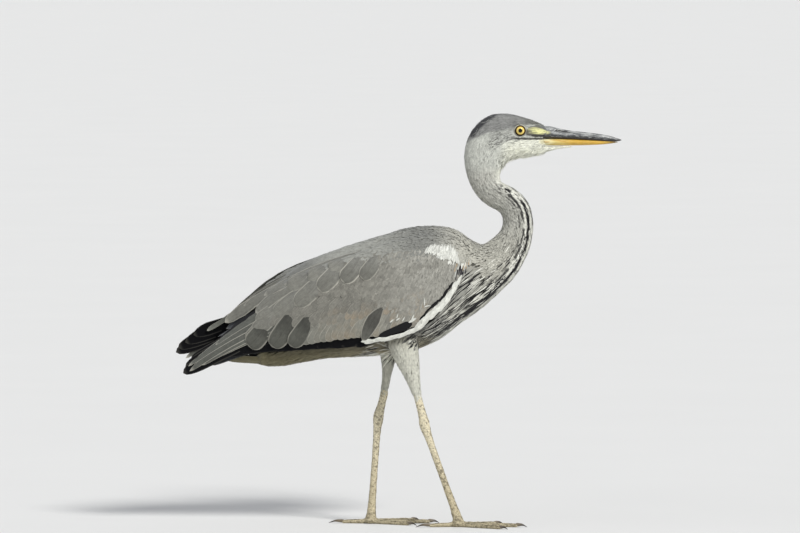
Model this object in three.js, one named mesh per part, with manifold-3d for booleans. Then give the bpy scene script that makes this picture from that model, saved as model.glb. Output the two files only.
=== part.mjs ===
// A life-size grey heron in its first winter, standing in a slow stalking stride.
// Millimetres, +Z up. The bill points along +X, the bird's right side faces -Y, and the floor is at z = 0,
// with the origin on the floor under the middle of the bird's box.
import * as THREE from 'three';
import { mergeVertices } from 'three/addons/utils/BufferGeometryUtils.js';
import Module from 'manifold-3d';

const wasm = await Module();
wasm.setup();

// ---- Driving dimensions -------------------------------------------------------------------------------------
const GAP = 0.3; // between neighbouring pieces
const EYE_RADIUS = 8;
const EYE_CENTRE = [175, 10.4, 574]; // the left eye; the right one mirrors it
const LEFT_WING_LIFT = 2.4; // degrees that the left wing lies higher than the right one
const SHOULDER = [96, 395]; // x and z of the pivot for that lift
const TOE_RADIUS = 3.9; // at the root of a front toe
const TOE_TAPER = 0.34; // how much of that it loses by its claw
const TOE_SWELL = 0.07; // how much of it a joint stands out
const CLAW_SHARE = 0.62; // of the toe's thickness, at the claw's root
const CLAW_ARCH = 0.9; // rise of the claw's middle, in root radii
const CLAW_TIP = 0.3; // radius of its blunt point
const PAD_RADIUS = 9.5; // the ball of the foot, where the toes meet
const PAD_HALF_HEIGHT = 6.2;
const PAD_CENTRE_Z = 5.2; // less than its half height, which leaves a flat sole

// ---- Outlines -----------------------------------------------------------------------------------------------
// A section of the body is a row: back point x, z; belly point x, z; half width. The rows run from the base of
// the bill over the head and down the folded neck to the rump, as the outline of the coat.
const HEAD_ROWS = [
  [209, 581, 209, 543, 9],
  [197, 587, 194, 537, 12],
  [182, 592, 178, 535, 15.5],
  [163, 597, 162, 532, 18.5],
  [146, 598, 154, 526, 20.5],
  [130, 595, 149, 521, 21],
  [115, 585, 147, 516, 20.5],
  [103, 570, 146, 511, 19.5],
  [96, 551, 145, 507, 18],
  [94, 531, 146, 503, 17],
];
const NECK_ROWS = [
  [98, 509, 148, 498, 16.5],
  [106, 489, 157, 494, 16.5],
  [117, 474, 168, 488, 16.5],
  [130, 464, 179, 479, 16.5],
  [142, 458, 188, 466, 16],
  [149, 450, 192, 452, 16],
  [150, 439, 194, 435, 16.5],
  [147, 429, 192, 418, 17],
  [139, 420, 188, 400, 18],
  [128, 412, 179, 381, 20],
  [120, 408, 168, 362, 24],
];
const TRUNK_ROWS = [
  [110, 412, 150, 344, 29],
  [99, 418, 130, 325, 36],
  [88, 427, 108, 308, 43],
  [73, 433, 88, 295, 49],
  [56, 435, 68, 278, 53],
  [33, 435, 46, 265, 55],
  [5, 431, 18, 254, 56],
  [-28, 420, -17, 249, 55],
  [-64, 410, -57, 246, 52],
  [-101, 397, -101, 244, 47],
  [-137, 383, -144, 237, 41],
  [-170, 360, -179, 231, 34],
  [-199, 336, -205, 235, 26],
  [-220, 314, -225, 246, 15],
];
// The wedge of feathers that runs out under the lower bill, and the closed bill's two halves, from the tip back.
const CHIN_ROWS = [
  [253, 550.8, 253, 550.2, 0.8],
  [236, 550.8, 236, 548.3, 3],
  [219, 550.8, 219, 544.5, 5],
  [203, 551, 200, 538, 7],
];
const BILL_UPPER_ROWS = [
  [322.5, 560.4, 322.5, 559.6, 0.4],
  [312, 564, 312, 558, 1.7],
  [293.8, 568.5, 293.8, 558.6, 3.3],
  [265, 571.8, 265, 560.3, 4.7],
  [235.8, 575.4, 235.8, 561.4, 6.2],
  [209.3, 580.6, 209.3, 562.2, 8.5],
];
const BILL_LOWER_ROWS = [
  [317, 556.8, 317, 556.1, 0.4],
  [308, 557.2, 308, 554.8, 1.7],
  [291, 558.1, 291, 553, 3.1],
  [265, 559.6, 265, 552, 4.5],
  [235.8, 561, 235.8, 551.7, 6],
  [209.3, 561.6, 209.3, 551.6, 7.8],
];
const TAIL_ROWS = [
  [-176, 304, -182, 240, 26],
  [-209, 283, -209, 241, 23],
  [-238, 265, -238, 241, 21],
  [-263, 252, -263, 236, 20],
  [-283, 242, -283, 231, 17],
  [-291, 236, -291, 233, 9],
];
// The folded right wing as a shell over the flank. Each row: upper edge x, z, distance from the mid-plane;
// lower edge x, z, distance; half thickness about the line between them.
const WING_ROWS = [
  [102, 400, 31, 102, 389, 33, 3],
  [91, 415, 28, 94, 364, 38, 14],
  [73, 423, 26, 82, 341, 42, 22],
  [53, 426, 25, 68, 316, 44, 28],
  [30, 425, 25, 47, 297, 45, 31],
  [4, 420, 25, 24, 283, 46, 32],
  [-25, 411, 25, -5, 273, 47, 31.5],
  [-57, 400, 25, -40, 268, 47, 30],
  [-89, 390, 24, -79, 265, 45, 29],
  [-122, 378, 22, -115, 261, 41, 27],
  [-156, 364, 19, -150, 256, 36, 24],
  [-188, 342, 15, -188, 253, 30, 20.5],
  [-217, 320, 12, -220, 249, 25, 16.5],
  [-246, 294, 10, -251, 240, 20, 12.5],
];
// Where the grey feathers of each wing end, and the black primaries that run out beyond them.
const RIGHT_WING_END = [-266, 276, 9.5, -271, 233, 17, 10.5];
const LEFT_WING_END = [-262, 299, 9.5, -268, 247, 17, 10.5];
const RIGHT_PRIMARY_ROWS = [
  [-266.5, 275, 9, -271.5, 232, 17, 9.5],
  [-282, 261, 8.5, -287, 226, 14, 7.5],
  [-297, 247, 8.5, -301, 221, 12.5, 5.5],
  [-308, 236, 9, -311, 218, 11.5, 3.5],
  [-316, 225, 9.5, -316, 219, 10.5, 1.2],
];
const LEFT_PRIMARY_ROWS = [
  [-262.5, 299, 9, -268.5, 247, 17, 9.5],
  [-277, 300, 8.5, -285, 244, 14, 7.5],
  [-292, 292, 8.5, -301, 244, 12.5, 5.5],
  [-309, 276, 9, -314, 246, 11.5, 3.5],
  [-325, 257, 9.5, -325, 248, 10.5, 1.2],
];
// A leg's feathered part. Each row: rear point x, z; front point x, z; half width.
const RIGHT_THIGH_ROWS = [
  [-21, 285, 26, 282, 17],
  [-16, 264, 27, 262, 17],
  [-11, 251, 28, 251, 15.5],
  [-3, 235, 29, 236, 12.5],
  [6, 220, 29.5, 222, 9],
  [13, 206, 30, 207, 6.7],
  [19, 192, 32, 194, 5.3],
];
const LEFT_THIGH_ROWS = [
  [-37, 277, 4, 277, 16],
  [-31, 258, -1, 260, 14.5],
  [-27, 242, -4, 244, 11.5],
  [-25, 226, -9, 228, 8.5],
  [-25, 211, -13, 212, 6.3],
  [-27, 196, -16, 196, 5.2],
];
// A bare limb: centre x, y, z; half depth; half width.
const RIGHT_SHANK = [
  [25.8, -33, 192, 5.6, 4.4],
  [30.6, -32.4, 173, 5.4, 4.3],
  [34.2, -31.8, 159, 6.3, 5.2],
  [35.6, -31.5, 152.5, 7.4, 6.2],
];
const RIGHT_TARSUS = [
  [35.9, -31.4, 151.5, 7.5, 6.3],
  [37.6, -31.2, 144, 7.2, 6.1],
  [42.5, -30.8, 129, 5.2, 4.3],
  [55, -29.8, 94, 4.7, 3.8],
  [69, -28.6, 55, 4.8, 3.9],
  [80, -27.5, 25, 5.6, 4.9],
  [85, -27, 9, 7.2, 6.8],
];
const LEFT_SHANK = [
  [-21.6, 32, 193.6, 5.6, 4.4],
  [-25.2, 31.6, 177, 5.4, 4.3],
  [-28.6, 31.2, 165, 6.3, 5.2],
  [-29.8, 31, 159.5, 7.4, 6.2],
];
const LEFT_TARSUS = [
  [-30, 31, 158.5, 7.5, 6.3],
  [-31.2, 30.8, 150.5, 7.2, 6.1],
  [-32.5, 30.4, 136, 5.2, 4.3],
  [-35, 29.4, 100, 4.7, 3.8],
  [-38, 28.2, 58, 4.8, 3.9],
  [-40.2, 27.3, 26, 5.6, 4.9],
  [-41.5, 27, 9, 7.2, 6.8],
];
// Each toe: name; heading in degrees outwards from straight ahead; length; claw length; scale of its thickness.
const TOES = [
  ['middle', 4, 86, 14, 1],
  ['inner', -30, 64, 13, 0.95],
  ['outer', 33, 73, 12, 0.92],
  ['hind', 172, 42, 20, 0.95],
];

const PAINT = {
  plumage: [0x8f9092, 0.9],
  pale: [0xc9c7c0, 0.9],
  black: [0x1b1d22, 0.7],
  upperBill: [0x55585e, 0.45],
  lowerBill: [0xd9a441, 0.45],
  leg: [0xb5ac8c, 0.65],
  claw: [0x3a342c, 0.4],
  eye: [0xe8c860, 0.1],
};

// ---- Shapes -------------------------------------------------------------------------------------------------
// A smooth run through rows of numbers: at(s) gives the row at s, counted in rows.
function run(rows) {
  const cubic = new THREE.CubicInterpolant(rows.map((_, i) => i), rows.flat(), rows[0].length);
  return (s) => Array.from(cubic.evaluate(s));
}

// A row as a general section: upper point x, y, z; lower point x, y, z; half width.
const body = ([dx, dz, vx, vz, half]) => [dx, 0, dz, vx, 0, vz, half];
const wing = (side) => ([dx, dz, dy, vx, vz, vy, half]) => [dx, side * dy, dz, vx, side * vy, vz, half];
const leg = (y) => ([bx, bz, fx, fz, half]) => [bx, y, bz, fx, y, fz, half];

// The sections of a bare limb, each square to the line through its neighbours' centres.
function limbRows(centres) {
  return centres.map(([x, y, z, depth, half], i) => {
    const [ax, , az] = centres[Math.max(i - 1, 0)];
    const [bx, , bz] = centres[Math.min(i + 1, centres.length - 1)];
    const long = Math.hypot(bx - ax, bz - az);
    const across = [(-(bz - az) / long) * depth, ((bx - ax) / long) * depth];
    return [x - across[0], y, z - across[1], x + across[0], y, z + across[1], half];
  });
}

// One closed skin through sections: a closed cylinder whose rings become ovals. taper narrows the upper half,
// power above 2 squares the oval, grow swells it, for cutting a neighbour, and floor flattens its underside.
function sweep(rows, options) {
  const plain = { from: 0, to: rows.length - 1, grow: 0, taper: 0, power: 2, floor: -Infinity };
  const { from, to, around, along, grow, taper, power, floor } = { ...plain, ...options };
  const at = run(rows);
  const shape = new THREE.CylinderGeometry(1, 1, 1, around, along);
  const point = shape.attributes.position;
  const upper = new THREE.Vector3();
  const lower = new THREE.Vector3();
  for (let i = 0; i < point.count; i++) {
    const row = at(from + (0.5 - point.getY(i)) * (to - from));
    upper.fromArray(row, 0);
    lower.fromArray(row, 3);
    const reach = Math.hypot(point.getX(i), point.getZ(i));
    const angle = Math.atan2(point.getZ(i), -point.getX(i));
    const [c, s] = [Math.cos(angle), Math.sin(angle)];
    const square = reach * (Math.abs(c) ** power + Math.abs(s) ** power) ** (-1 / power);
    const half = row[6] * (1 - taper * s) + grow;
    const axis = upper.clone().sub(lower);
    const rise = (s * square * (axis.length() / 2 + grow)) / axis.length();
    const place = upper.add(lower).multiplyScalar(0.5).addScaledVector(axis, rise);
    point.setXYZ(i, place.x, place.y + c * square * half, place.z);
  }
  return flatten(shape, floor);
}

// Presses what lies under a level up to it, as a foot's underside on the floor.
function flatten(shape, level) {
  const point = shape.attributes.position;
  for (let i = 0; i < point.count; i++) point.setZ(i, Math.max(point.getZ(i), level));
  return shape;
}

const ball = (centre, radius) => solid(new THREE.SphereGeometry(radius, 12, 6).translate(...centre));

function solid(shape) {
  const bare = shape.clone();
  bare.deleteAttribute('normal');
  bare.deleteAttribute('uv');
  const merged = mergeVertices(bare, 1e-3);
  const vertProperties = Float32Array.from(merged.attributes.position.array);
  const triVerts = Uint32Array.from(merged.index.array);
  return new wasm.Manifold(new wasm.Mesh({ numProp: 3, vertProperties, triVerts }));
}

function geometryOf(made) {
  const { vertProperties, triVerts, numProp } = made.getMesh();
  const shape = new THREE.BufferGeometry();
  const places = new Float32Array((vertProperties.length / numProp) * 3);
  for (let i = 0; i < places.length / 3; i++) {
    places.set(vertProperties.subarray(i * numProp, i * numProp + 3), i * 3);
  }
  shape.setAttribute('position', new THREE.BufferAttribute(places, 3));
  shape.setIndex(new THREE.BufferAttribute(triVerts, 1));
  shape.computeVertexNormals();
  return shape;
}

// The body of a solid, without the crumbs that a cut may leave beside it.
const largest = (made) => made.decompose().sort((a, b) => b.volume() - a.volume())[0];

const heron = new THREE.Group();

function add(name, made, paint, parent = heron) {
  const [color, roughness] = PAINT[paint];
  const mesh = new THREE.Mesh(
    geometryOf(largest(made)),
    new THREE.MeshStandardMaterial({ color, roughness, metalness: 0 }),
  );
  mesh.name = name;
  parent.add(mesh);
  return mesh;
}

// ---- Head, neck, trunk and tail -----------------------------------------------------------------------------
const SPINE = [...HEAD_ROWS, ...NECK_ROWS, ...TRUNK_ROWS].map(body);
const LAST = SPINE.length - 1;
const NAPE = 9.5; // where the head ends, counted in rows
const MID_NECK = 15;
const NECK_ROOT = 21.5;
const PARTING = 0.05; // half the thin cut between two lengths, in rows

const oval = { power: 2.1, taper: 0.06 };
const headShape = { ...oval, from: 0, to: NAPE - PARTING, around: 20, along: 14 };
const upperNeckShape = { ...oval, from: NAPE + PARTING, to: MID_NECK - PARTING / 2, around: 18, along: 10 };
const lowerNeckShape = { ...oval, from: MID_NECK, to: NECK_ROOT - PARTING / 2, around: 20, along: 10 };
const trunkShape = { ...oval, from: NECK_ROOT + PARTING / 2, to: LAST, around: 24, along: 16 };
const trunk = solid(sweep(SPINE, trunkShape));
const bodyGrown = solid(sweep(SPINE, { ...trunkShape, grow: GAP })).add(
  solid(sweep(SPINE, { ...lowerNeckShape, grow: GAP })),
);

const eyes = [-1, 1].map((side) => [EYE_CENTRE[0], side * EYE_CENTRE[1], EYE_CENTRE[2]]);
let head = solid(sweep(SPINE, headShape)).add(solid(sweep(CHIN_ROWS.map(body), { around: 10, along: 4 })));
for (const eye of eyes) head = head.subtract(ball(eye, EYE_RADIUS + GAP));

add('head', head, 'plumage');
eyes.forEach((eye, i) => add(i ? 'eye_left' : 'eye_right', ball(eye, EYE_RADIUS), 'eye'));
add('bill_upper', solid(sweep(BILL_UPPER_ROWS.map(body), { around: 12, along: 9, taper: 0.42 })), 'upperBill');
add('bill_lower', solid(sweep(BILL_LOWER_ROWS.map(body), { around: 12, along: 8, taper: -0.3 })), 'lowerBill');
add('neck_upper', solid(sweep(SPINE, upperNeckShape)), 'pale');
add('neck_lower', solid(sweep(SPINE, lowerNeckShape)), 'pale');
add('trunk', trunk, 'plumage');

const tail = (grow) => solid(sweep(TAIL_ROWS.map(body), { around: 14, along: 6, grow }));
add('tail', tail(0).subtract(bodyGrown), 'plumage');

// ---- Legs ---------------------------------------------------------------------------------------------------
// The ball of the foot, cut flat by the floor.
function pad(grow) {
  const shape = new THREE.SphereGeometry(1, 12, 6)
    .rotateX(Math.PI / 2)
    .scale(PAD_RADIUS + grow, PAD_RADIUS + grow, PAD_HALF_HEIGHT + grow)
    .translate(0, 0, PAD_CENTRE_Z);
  return flatten(shape, -grow);
}

// One toe along +X from the middle of the pad, tip first, with a swelling at each joint that meets the floor.
function toeRows(long, scale) {
  const joints = 3;
  const steps = joints * 4;
  return Array.from({ length: steps + 1 }, (_, i) => {
    const t = 1 - i / steps;
    const radius = TOE_RADIUS * scale * (1 - TOE_TAPER * t);
    const swell = Math.cos(t * joints * 2 * Math.PI); // 1 at a joint, -1 between two
    const half = radius * (1 + TOE_SWELL * swell);
    const middle = radius * (1 - TOE_SWELL * (1 + swell));
    return [t * long, 0, middle + half, t * long, 0, middle - half, half];
  });
}

// One claw that follows the toe, tip first, arched down to a point on the floor.
function clawRows(long, scale, claw) {
  const root = TOE_RADIUS * scale * CLAW_SHARE;
  return [1, 0.85, 0.6, 0.3, 0].map((t) => {
    const half = root * (1 - t) ** 0.8 + CLAW_TIP;
    const middle = root * (1.15 * (1 - t) + CLAW_ARCH * Math.sin(Math.PI * t)) + CLAW_TIP / 3;
    const x = long + GAP + t * claw;
    return [x, 0, middle + half, x, 0, middle - half, half * 0.8];
  });
}

function addLeg(side, y, thighRows, shank, tarsus) {
  const [footX, footY] = tarsus[tarsus.length - 1];
  const thigh = (grow) => solid(sweep(thighRows.map(leg(y)), { around: 16, along: 8, grow }));
  const bare = (rows, along, grow) => solid(sweep(limbRows(rows), { around: 10, along, grow }));
  add(`thigh_${side}`, thigh(0).subtract(bodyGrown), 'pale');
  add(`shank_${side}`, bare(shank, 4, 0).subtract(bare(tarsus, 10, GAP)), 'leg');
  add(`tarsus_${side}`, bare(tarsus, 10, 0).add(solid(pad(0).translate(footX, footY, 0))), 'leg');

  const toes = new THREE.Group();
  toes.position.set(footX, footY, 0);
  heron.add(toes);
  let taken = solid(pad(GAP));
  for (const [name, heading, long, claw, scale] of TOES) {
    const turn = THREE.MathUtils.degToRad(Math.sign(y) * heading);
    const toeShape = (grow) => sweep(toeRows(long, scale), { around: 8, along: 9, grow, floor: -grow });
    const toe = (grow) => solid(toeShape(grow).rotateZ(turn));
    const nail = sweep(clawRows(long, scale, claw), { around: 6, along: 4, floor: 0 });
    add(`toe_${name}_${side}`, toe(0).subtract(taken), 'leg', toes);
    add(`claw_${name}_${side}`, solid(nail.rotateZ(turn)), 'claw', toes);
    taken = taken.add(toe(GAP));
  }
  return thigh(GAP);
}

const rightThighGrown = addLeg('right', -34, RIGHT_THIGH_ROWS, RIGHT_SHANK, RIGHT_TARSUS);
const leftThighGrown = addLeg('left', 33, LEFT_THIGH_ROWS, LEFT_SHANK, LEFT_TARSUS);

// ---- Wings --------------------------------------------------------------------------------------------------
// The left wing's rows: the right one's, turned up about the shoulder.
function lifted(rows) {
  const turn = THREE.MathUtils.degToRad(LEFT_WING_LIFT);
  const lift = (x, z) => {
    const [dx, dz] = [x - SHOULDER[0], z - SHOULDER[1]];
    return [
      SHOULDER[0] + dx * Math.cos(turn) + dz * Math.sin(turn),
      SHOULDER[1] - dx * Math.sin(turn) + dz * Math.cos(turn),
    ];
  };
  return rows.map(([dx, dz, dy, vx, vz, vy, half]) => [...lift(dx, dz), dy, ...lift(vx, vz), vy, half]);
}

function addWing(side, rows, end, primaryRows) {
  const cutters = [bodyGrown, tail(GAP), rightThighGrown, leftThighGrown];
  const cut = (shape) => cutters.reduce((left, cutter) => left.subtract(cutter), solid(shape));
  add(`wing_${side}`, cut(sweep([...rows, end], { around: 20, along: 15 })), 'plumage');
  add(`primaries_${side}`, cut(sweep(primaryRows, { around: 12, along: 5 })), 'black');
}

const [right, left] = [-1, 1].map(wing);
addWing('right', WING_ROWS.map(right), right(RIGHT_WING_END), RIGHT_PRIMARY_ROWS.map(right));
addWing('left', lifted(WING_ROWS).map(left), left(LEFT_WING_END), LEFT_PRIMARY_ROWS.map(left));

export default heron;
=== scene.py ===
import math

import bpy
import numpy as np
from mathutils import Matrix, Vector
from mathutils.bvhtree import BVHTree


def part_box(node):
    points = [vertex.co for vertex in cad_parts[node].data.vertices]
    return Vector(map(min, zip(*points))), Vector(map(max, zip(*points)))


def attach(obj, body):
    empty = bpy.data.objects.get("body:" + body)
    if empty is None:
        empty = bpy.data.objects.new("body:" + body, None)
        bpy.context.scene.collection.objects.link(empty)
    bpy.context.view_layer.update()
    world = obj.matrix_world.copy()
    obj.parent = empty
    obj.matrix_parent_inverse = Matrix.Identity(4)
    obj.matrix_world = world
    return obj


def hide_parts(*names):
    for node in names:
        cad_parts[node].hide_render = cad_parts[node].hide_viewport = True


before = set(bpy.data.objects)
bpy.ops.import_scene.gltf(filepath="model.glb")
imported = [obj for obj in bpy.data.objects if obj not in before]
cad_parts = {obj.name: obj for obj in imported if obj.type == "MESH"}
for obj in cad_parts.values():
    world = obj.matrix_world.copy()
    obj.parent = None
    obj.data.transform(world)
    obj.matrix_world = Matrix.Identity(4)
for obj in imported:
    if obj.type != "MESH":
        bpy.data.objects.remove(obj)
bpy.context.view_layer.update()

# A grey heron in its first year, life size. Lengths are in millimetres in the frame of the solids (x
# forwards, y to the bird's left, z up) until a mesh is made, which is in metres. Pairs are x and z in the
# side view, unless a note says otherwise.
MM = 0.001

# ---- Driving sizes ----
EYE = np.array([175.0, 10.4, 574.0])  # centre of the left eyeball; the right one mirrors it
EYE_RADIUS = 8.0
PUPIL_RADIUS = 2.9
IRIS_RADIUS = 5.9
LID_RADIUS = 6.3  # inner edge of the lids
LID_RIM_RADIUS = 8.3  # where the lids end and the face feathers start

# The middle of the body from the bill's base over the head and down the folded neck to the tail.
SPINE = [
    (209, 562), (180, 564), (152, 562), (137, 556), (127, 543), (121, 525), (123, 505), (131, 491),
    (143, 481), (155, 472), (165, 462), (170.5, 450), (172, 437), (169, 423), (163, 410), (153, 396),
    (140, 385), (120, 375), (98, 367), (70, 359), (39, 350), (11, 342), (-22, 334), (-60, 328), (-101, 320),
    (-140, 310), (-175, 296), (-202, 285), (-240, 262), (-291, 234),
]

# How deep the coat lies over the skin on each part.
COAT_DEPTH = {
    "head": 1.7, "neck_upper": 3.2, "neck_lower": 4.2, "trunk": 5.5, "wing": 3.6, "thigh": 3.4,
    "shank": 0, "tarsus": 0, "toe": 0,
}
BARE = ("shank", "tarsus", "toe")
MOST_OF_THICKNESS = 0.3  # the coat never takes more of a part's thickness than this from one side

SKIN_VOXEL = 1.3
SKIN_SHARE = 0.35  # of the remeshed faces, kept where the surface is broad
COARSE_ABOVE = 190  # the legs below and the head in front of the next two stay fine
HEAD_FLOOR = 520
HEAD_BACK = 90
SWELL = 0.45  # closes the gaps between the solids

# The folded wing from the side: the line where the mantle meets it, and the line of its lowest feather tips.
MANTLE_EDGE = [
    (-330, 236), (-290, 262), (-250, 290), (-200, 324), (-150, 354), (-100, 378), (-60, 393), (-20, 400),
    (20, 404), (45, 406), (78, 404), (100, 396),
]
LOWER_EDGE = [
    (-330, 215), (-290, 238), (-250, 257), (-205, 262), (-173, 263), (-144, 265), (-115, 271), (-72, 276.5),
    (-28, 280), (8, 290), (37, 307), (59, 325), (76, 345), (92, 369), (104, 394),
]
WING_SLOPE = [(-260, 31.5), (-202, 38), (-144, 43.5), (-72, 52), (1, 62), (73, 72), (100, 78)]  # x, degrees
LOW_SLOPE = 60  # degrees, of the greater coverts
SHOULDER = np.array([96.0, 395.0])
LEFT_WING_LIFT = math.radians(2.4)

PATCH = 0.003  # side of a tuft's own patch in the baking map
GRID_FILL = 0.94  # of its cell, a large feather's


def paint(red, green, blue):
    """A colour by its display values, 0 to 255, as the linear values that the shaders use."""
    share = np.array([red, green, blue]) / 255
    return np.where(share <= 0.04045, share / 12.92, ((share + 0.055) / 1.055) ** 2.4)


# ---- Palette ----
CAP_GREY = paint(137, 137, 133)
FOREHEAD_GREY = paint(116, 116, 108)
NAPE_BLACK = paint(52, 52, 55)
CHEEK = paint(197, 198, 188)
THROAT = paint(234, 234, 218)
LORE_YELLOW = paint(229, 227, 160)
LORE_DARK = paint(96, 92, 78)
LID_DARK = paint(58, 46, 32)
LID_LOW = paint(140, 138, 124)
LID_PALE = paint(205, 205, 188)
NAPE_GREY = paint(184, 183, 173)
NECK_GREY = paint(175, 174, 164)
NECK_BUFF = paint(175, 173, 161)
STREAK_BLACK = paint(22, 21, 22)
STREAK_WHITE = paint(226, 225, 213)
MANTLE = paint(126, 126, 120)
BACK_GREY = paint(150, 150, 142)
# grey-buff of the belly, painted darker as the shaded underside
BELLY_IN_SHADE = paint(138, 131, 106)
FLANK_DARK = paint(60, 58, 54)
# grey-buff of the vent and the feathers under the tail, painted darker as in shade
VENT_IN_SHADE = paint(112, 106, 80)
THIGH = paint(201, 200, 186)
LESSER = paint(148, 146, 137)
LESSER_LIGHT = paint(161, 159, 149)
MEDIAN = paint(123, 121, 112)
GREATER = paint(133, 132, 122)
LOBE = paint(83, 83, 76)
SCAPULAR = paint(111, 110, 102)
TERTIAL = paint(94, 95, 88)
FRINGE = paint(180, 177, 164)
BUFF = paint(176, 156, 128)
WHITE = paint(227, 227, 217)
BLACK = paint(13, 13, 15)
TAIL_GREY = paint(72, 74, 77)
LEG_PALE = paint(226, 216, 186)
LEG_SHADE = paint(200, 188, 156)
LEG_FLECK = paint(84, 76, 60)
BILL_SLATE = paint(102, 104, 104)
BILL_PALE = paint(212, 213, 206)
BILL_DARK = paint(34, 32, 32)
BILL_YELLOW = paint(206, 164, 58)
BILL_CREAM = paint(222, 207, 132)
CLAW_TIP = paint(48, 42, 36)
CLAW_ROOT = paint(112, 100, 80)
FLOOR = paint(226, 225, 221)


# ---- Small tools ----
def unit(vectors):
    return vectors / np.maximum(np.linalg.norm(vectors, axis=-1, keepdims=True), 1e-9)


def smoothstep(low, high, value):
    share = np.clip((value - low) / (high - low), 0, 1)
    return share * share * (3 - 2 * share)


def mix(first, second, share):
    return first + (second - first) * np.asarray(share)[..., None]


def along(table, value):
    """The second numbers of a table of pairs, at a value among its first ones."""
    table = sorted(table)
    return np.interp(value, [row[0] for row in table], [row[1] for row in table])


def ripple(points, size, seed):
    """A soft irregular pattern from -1 to 1, with lumps of about that size."""
    rng = np.random.default_rng(seed)
    waves = unit(rng.normal(size=(9, points.shape[-1]))) * rng.uniform(0.6, 1.5, (9, 1)) * math.pi / size
    turns = rng.uniform(0, 2 * math.pi, 9)
    return np.sin(points @ waves.T + turns).sum(-1) / 4.5


def from_line(x, z, line):
    """How far points in the side view are from a line of points."""
    points = np.stack([x, z], -1)
    best = np.full(len(points), 1e9)
    for start, end in zip(np.array(line[:-1], float), np.array(line[1:], float)):
        run = end - start
        share = np.clip(((points - start) @ run) / (run @ run), 0, 1)
        best = np.minimum(best, np.linalg.norm(points - start - share[:, None] * run, axis=1))
    return best


def near_line(x, z, line, full, none):
    """1 as far as full from a line in the side view, and 0 from none on."""
    return 1 - smoothstep(full, none, from_line(x, z, line))


def of_part(parts, *names):
    """True where a part's name starts with one of the names."""
    return np.logical_or.reduce([np.char.startswith(parts, name) for name in names])


def inside(x, z, outline):
    """True for points in the side view that an outline holds."""
    found = np.zeros(len(x), bool)
    for (x0, z0), (x1, z1) in zip(outline, outline[1:] + outline[:1]):
        if z0 == z1:
            continue
        crossing = x0 + (z - z0) * (x1 - x0) / (z1 - z0)
        found ^= ((z0 > z) != (z1 > z)) & (x < crossing)
    return found


def deselect_all():
    if bpy.context.object and bpy.context.object.mode != "OBJECT":
        bpy.ops.object.mode_set(mode="OBJECT")
    bpy.ops.object.select_all(action="DESELECT")


def activate(piece):
    deselect_all()
    piece.select_set(True)
    bpy.context.view_layer.objects.active = piece


def apply_modifier(piece, kind, **settings):
    """Adds a modifier to a piece and applies it."""
    activate(piece)
    modifier = piece.modifiers.new(kind.lower(), kind)
    for key, value in settings.items():
        setattr(modifier, key, value)
    bpy.ops.object.modifier_apply(modifier=modifier.name)


def merged_copy(node, name):
    """A new object with a CAD node's shape and merged vertices."""
    piece = bpy.data.objects.new(name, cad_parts[node].data.copy())
    piece.data.name = name
    piece.data.materials.clear()
    bpy.context.scene.collection.objects.link(piece)
    apply_modifier(piece, "WELD", merge_threshold=0.01 * MM)
    return piece


def vertices_of(mesh):
    """A mesh's vertices in millimetres."""
    flat = np.zeros(len(mesh.vertices) * 3, np.float32)
    mesh.vertices.foreach_get("co", flat)
    return flat.reshape(-1, 3).astype(float) / MM


def set_vertices(mesh, points):
    mesh.vertices.foreach_set("co", (points * MM).astype(np.float32).ravel())
    mesh.update()


def colour_vertices(mesh, colours):
    """Stores red, green, blue and the share of a second finish as the piece's own colour."""
    layer = mesh.color_attributes.new("Coat", "FLOAT_COLOR", "POINT")
    layer.data.foreach_set("color", colours.astype(np.float32).ravel())


def finish_piece(piece, material, slot, *nodes):
    """Gives a piece its finish, its body and the nodes that it stands for."""
    piece.data.materials.clear()
    piece.data.materials.append(material)
    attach(piece, "root")
    if nodes:
        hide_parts(*nodes)


# ---- Places on the body ----
def even_line(points, step):
    """The same line with points at even steps, and its direction at each."""
    points = np.array(points, float)
    lengths = np.r_[0, np.cumsum(np.linalg.norm(np.diff(points, axis=0), axis=1))]
    stations = np.arange(0, lengths[-1], step)
    line = np.stack([np.interp(stations, lengths, points[:, i]) for i in range(2)], 1)
    for _ in range(6):
        line[1:-1] = (line[:-2] + 2 * line[1:-1] + line[2:]) / 4
    return line, unit(np.gradient(line, axis=0))


SPINE_STEP = 4.0
spine_line, spine_way = even_line(SPINE, SPINE_STEP)
spine_belly = np.stack([-spine_way[:, 1], spine_way[:, 0]], 1)  # from the spine towards the belly


def station_of(x, z):
    """Where along the spine a point in the side view lies, in millimetres from the bill's base."""
    points = np.stack(np.broadcast_arrays(x, z), -1).reshape(-1, 2).astype(float)
    nearest = np.concatenate([
        np.argmin(((chunk[:, None] - spine_line) ** 2).sum(-1), 1)
        for chunk in np.array_split(points, len(points) // 20000 + 1)
    ])
    ahead = ((points - spine_line[nearest]) * spine_way[nearest]).sum(-1)
    return nearest * SPINE_STEP + ahead


def spine_at(stations):
    """Middle point, way and belly direction of the spine at stations."""
    steps = np.arange(len(spine_line)) * SPINE_STEP
    middle, way, belly = (
        np.stack([np.interp(stations, steps, table[:, i]) for i in range(2)], -1)
        for table in (spine_line, spine_way, spine_belly)
    )
    return middle, unit(way), unit(belly)


def below_spine(points):
    """Station of each point, and how far it is from the spine towards the belly."""
    stations = station_of(points[:, 0], points[:, 2])
    middle, _, belly = spine_at(stations)
    return stations, ((points[:, [0, 2]] - middle) * belly).sum(-1)


def wing_way(x, share=0.0):
    """Direction of the wing's feathers in the side view, steeper low on the wing."""
    slope = along(WING_SLOPE, x)
    slope = np.radians(slope + np.maximum(LOW_SLOPE - slope, 0) * smoothstep(0.55, 0.9, share))
    return np.stack([-np.cos(slope), -np.sin(slope)], -1)


# ---- The skin ----
FLESH = sorted(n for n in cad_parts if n.startswith(tuple(COAT_DEPTH)))


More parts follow.
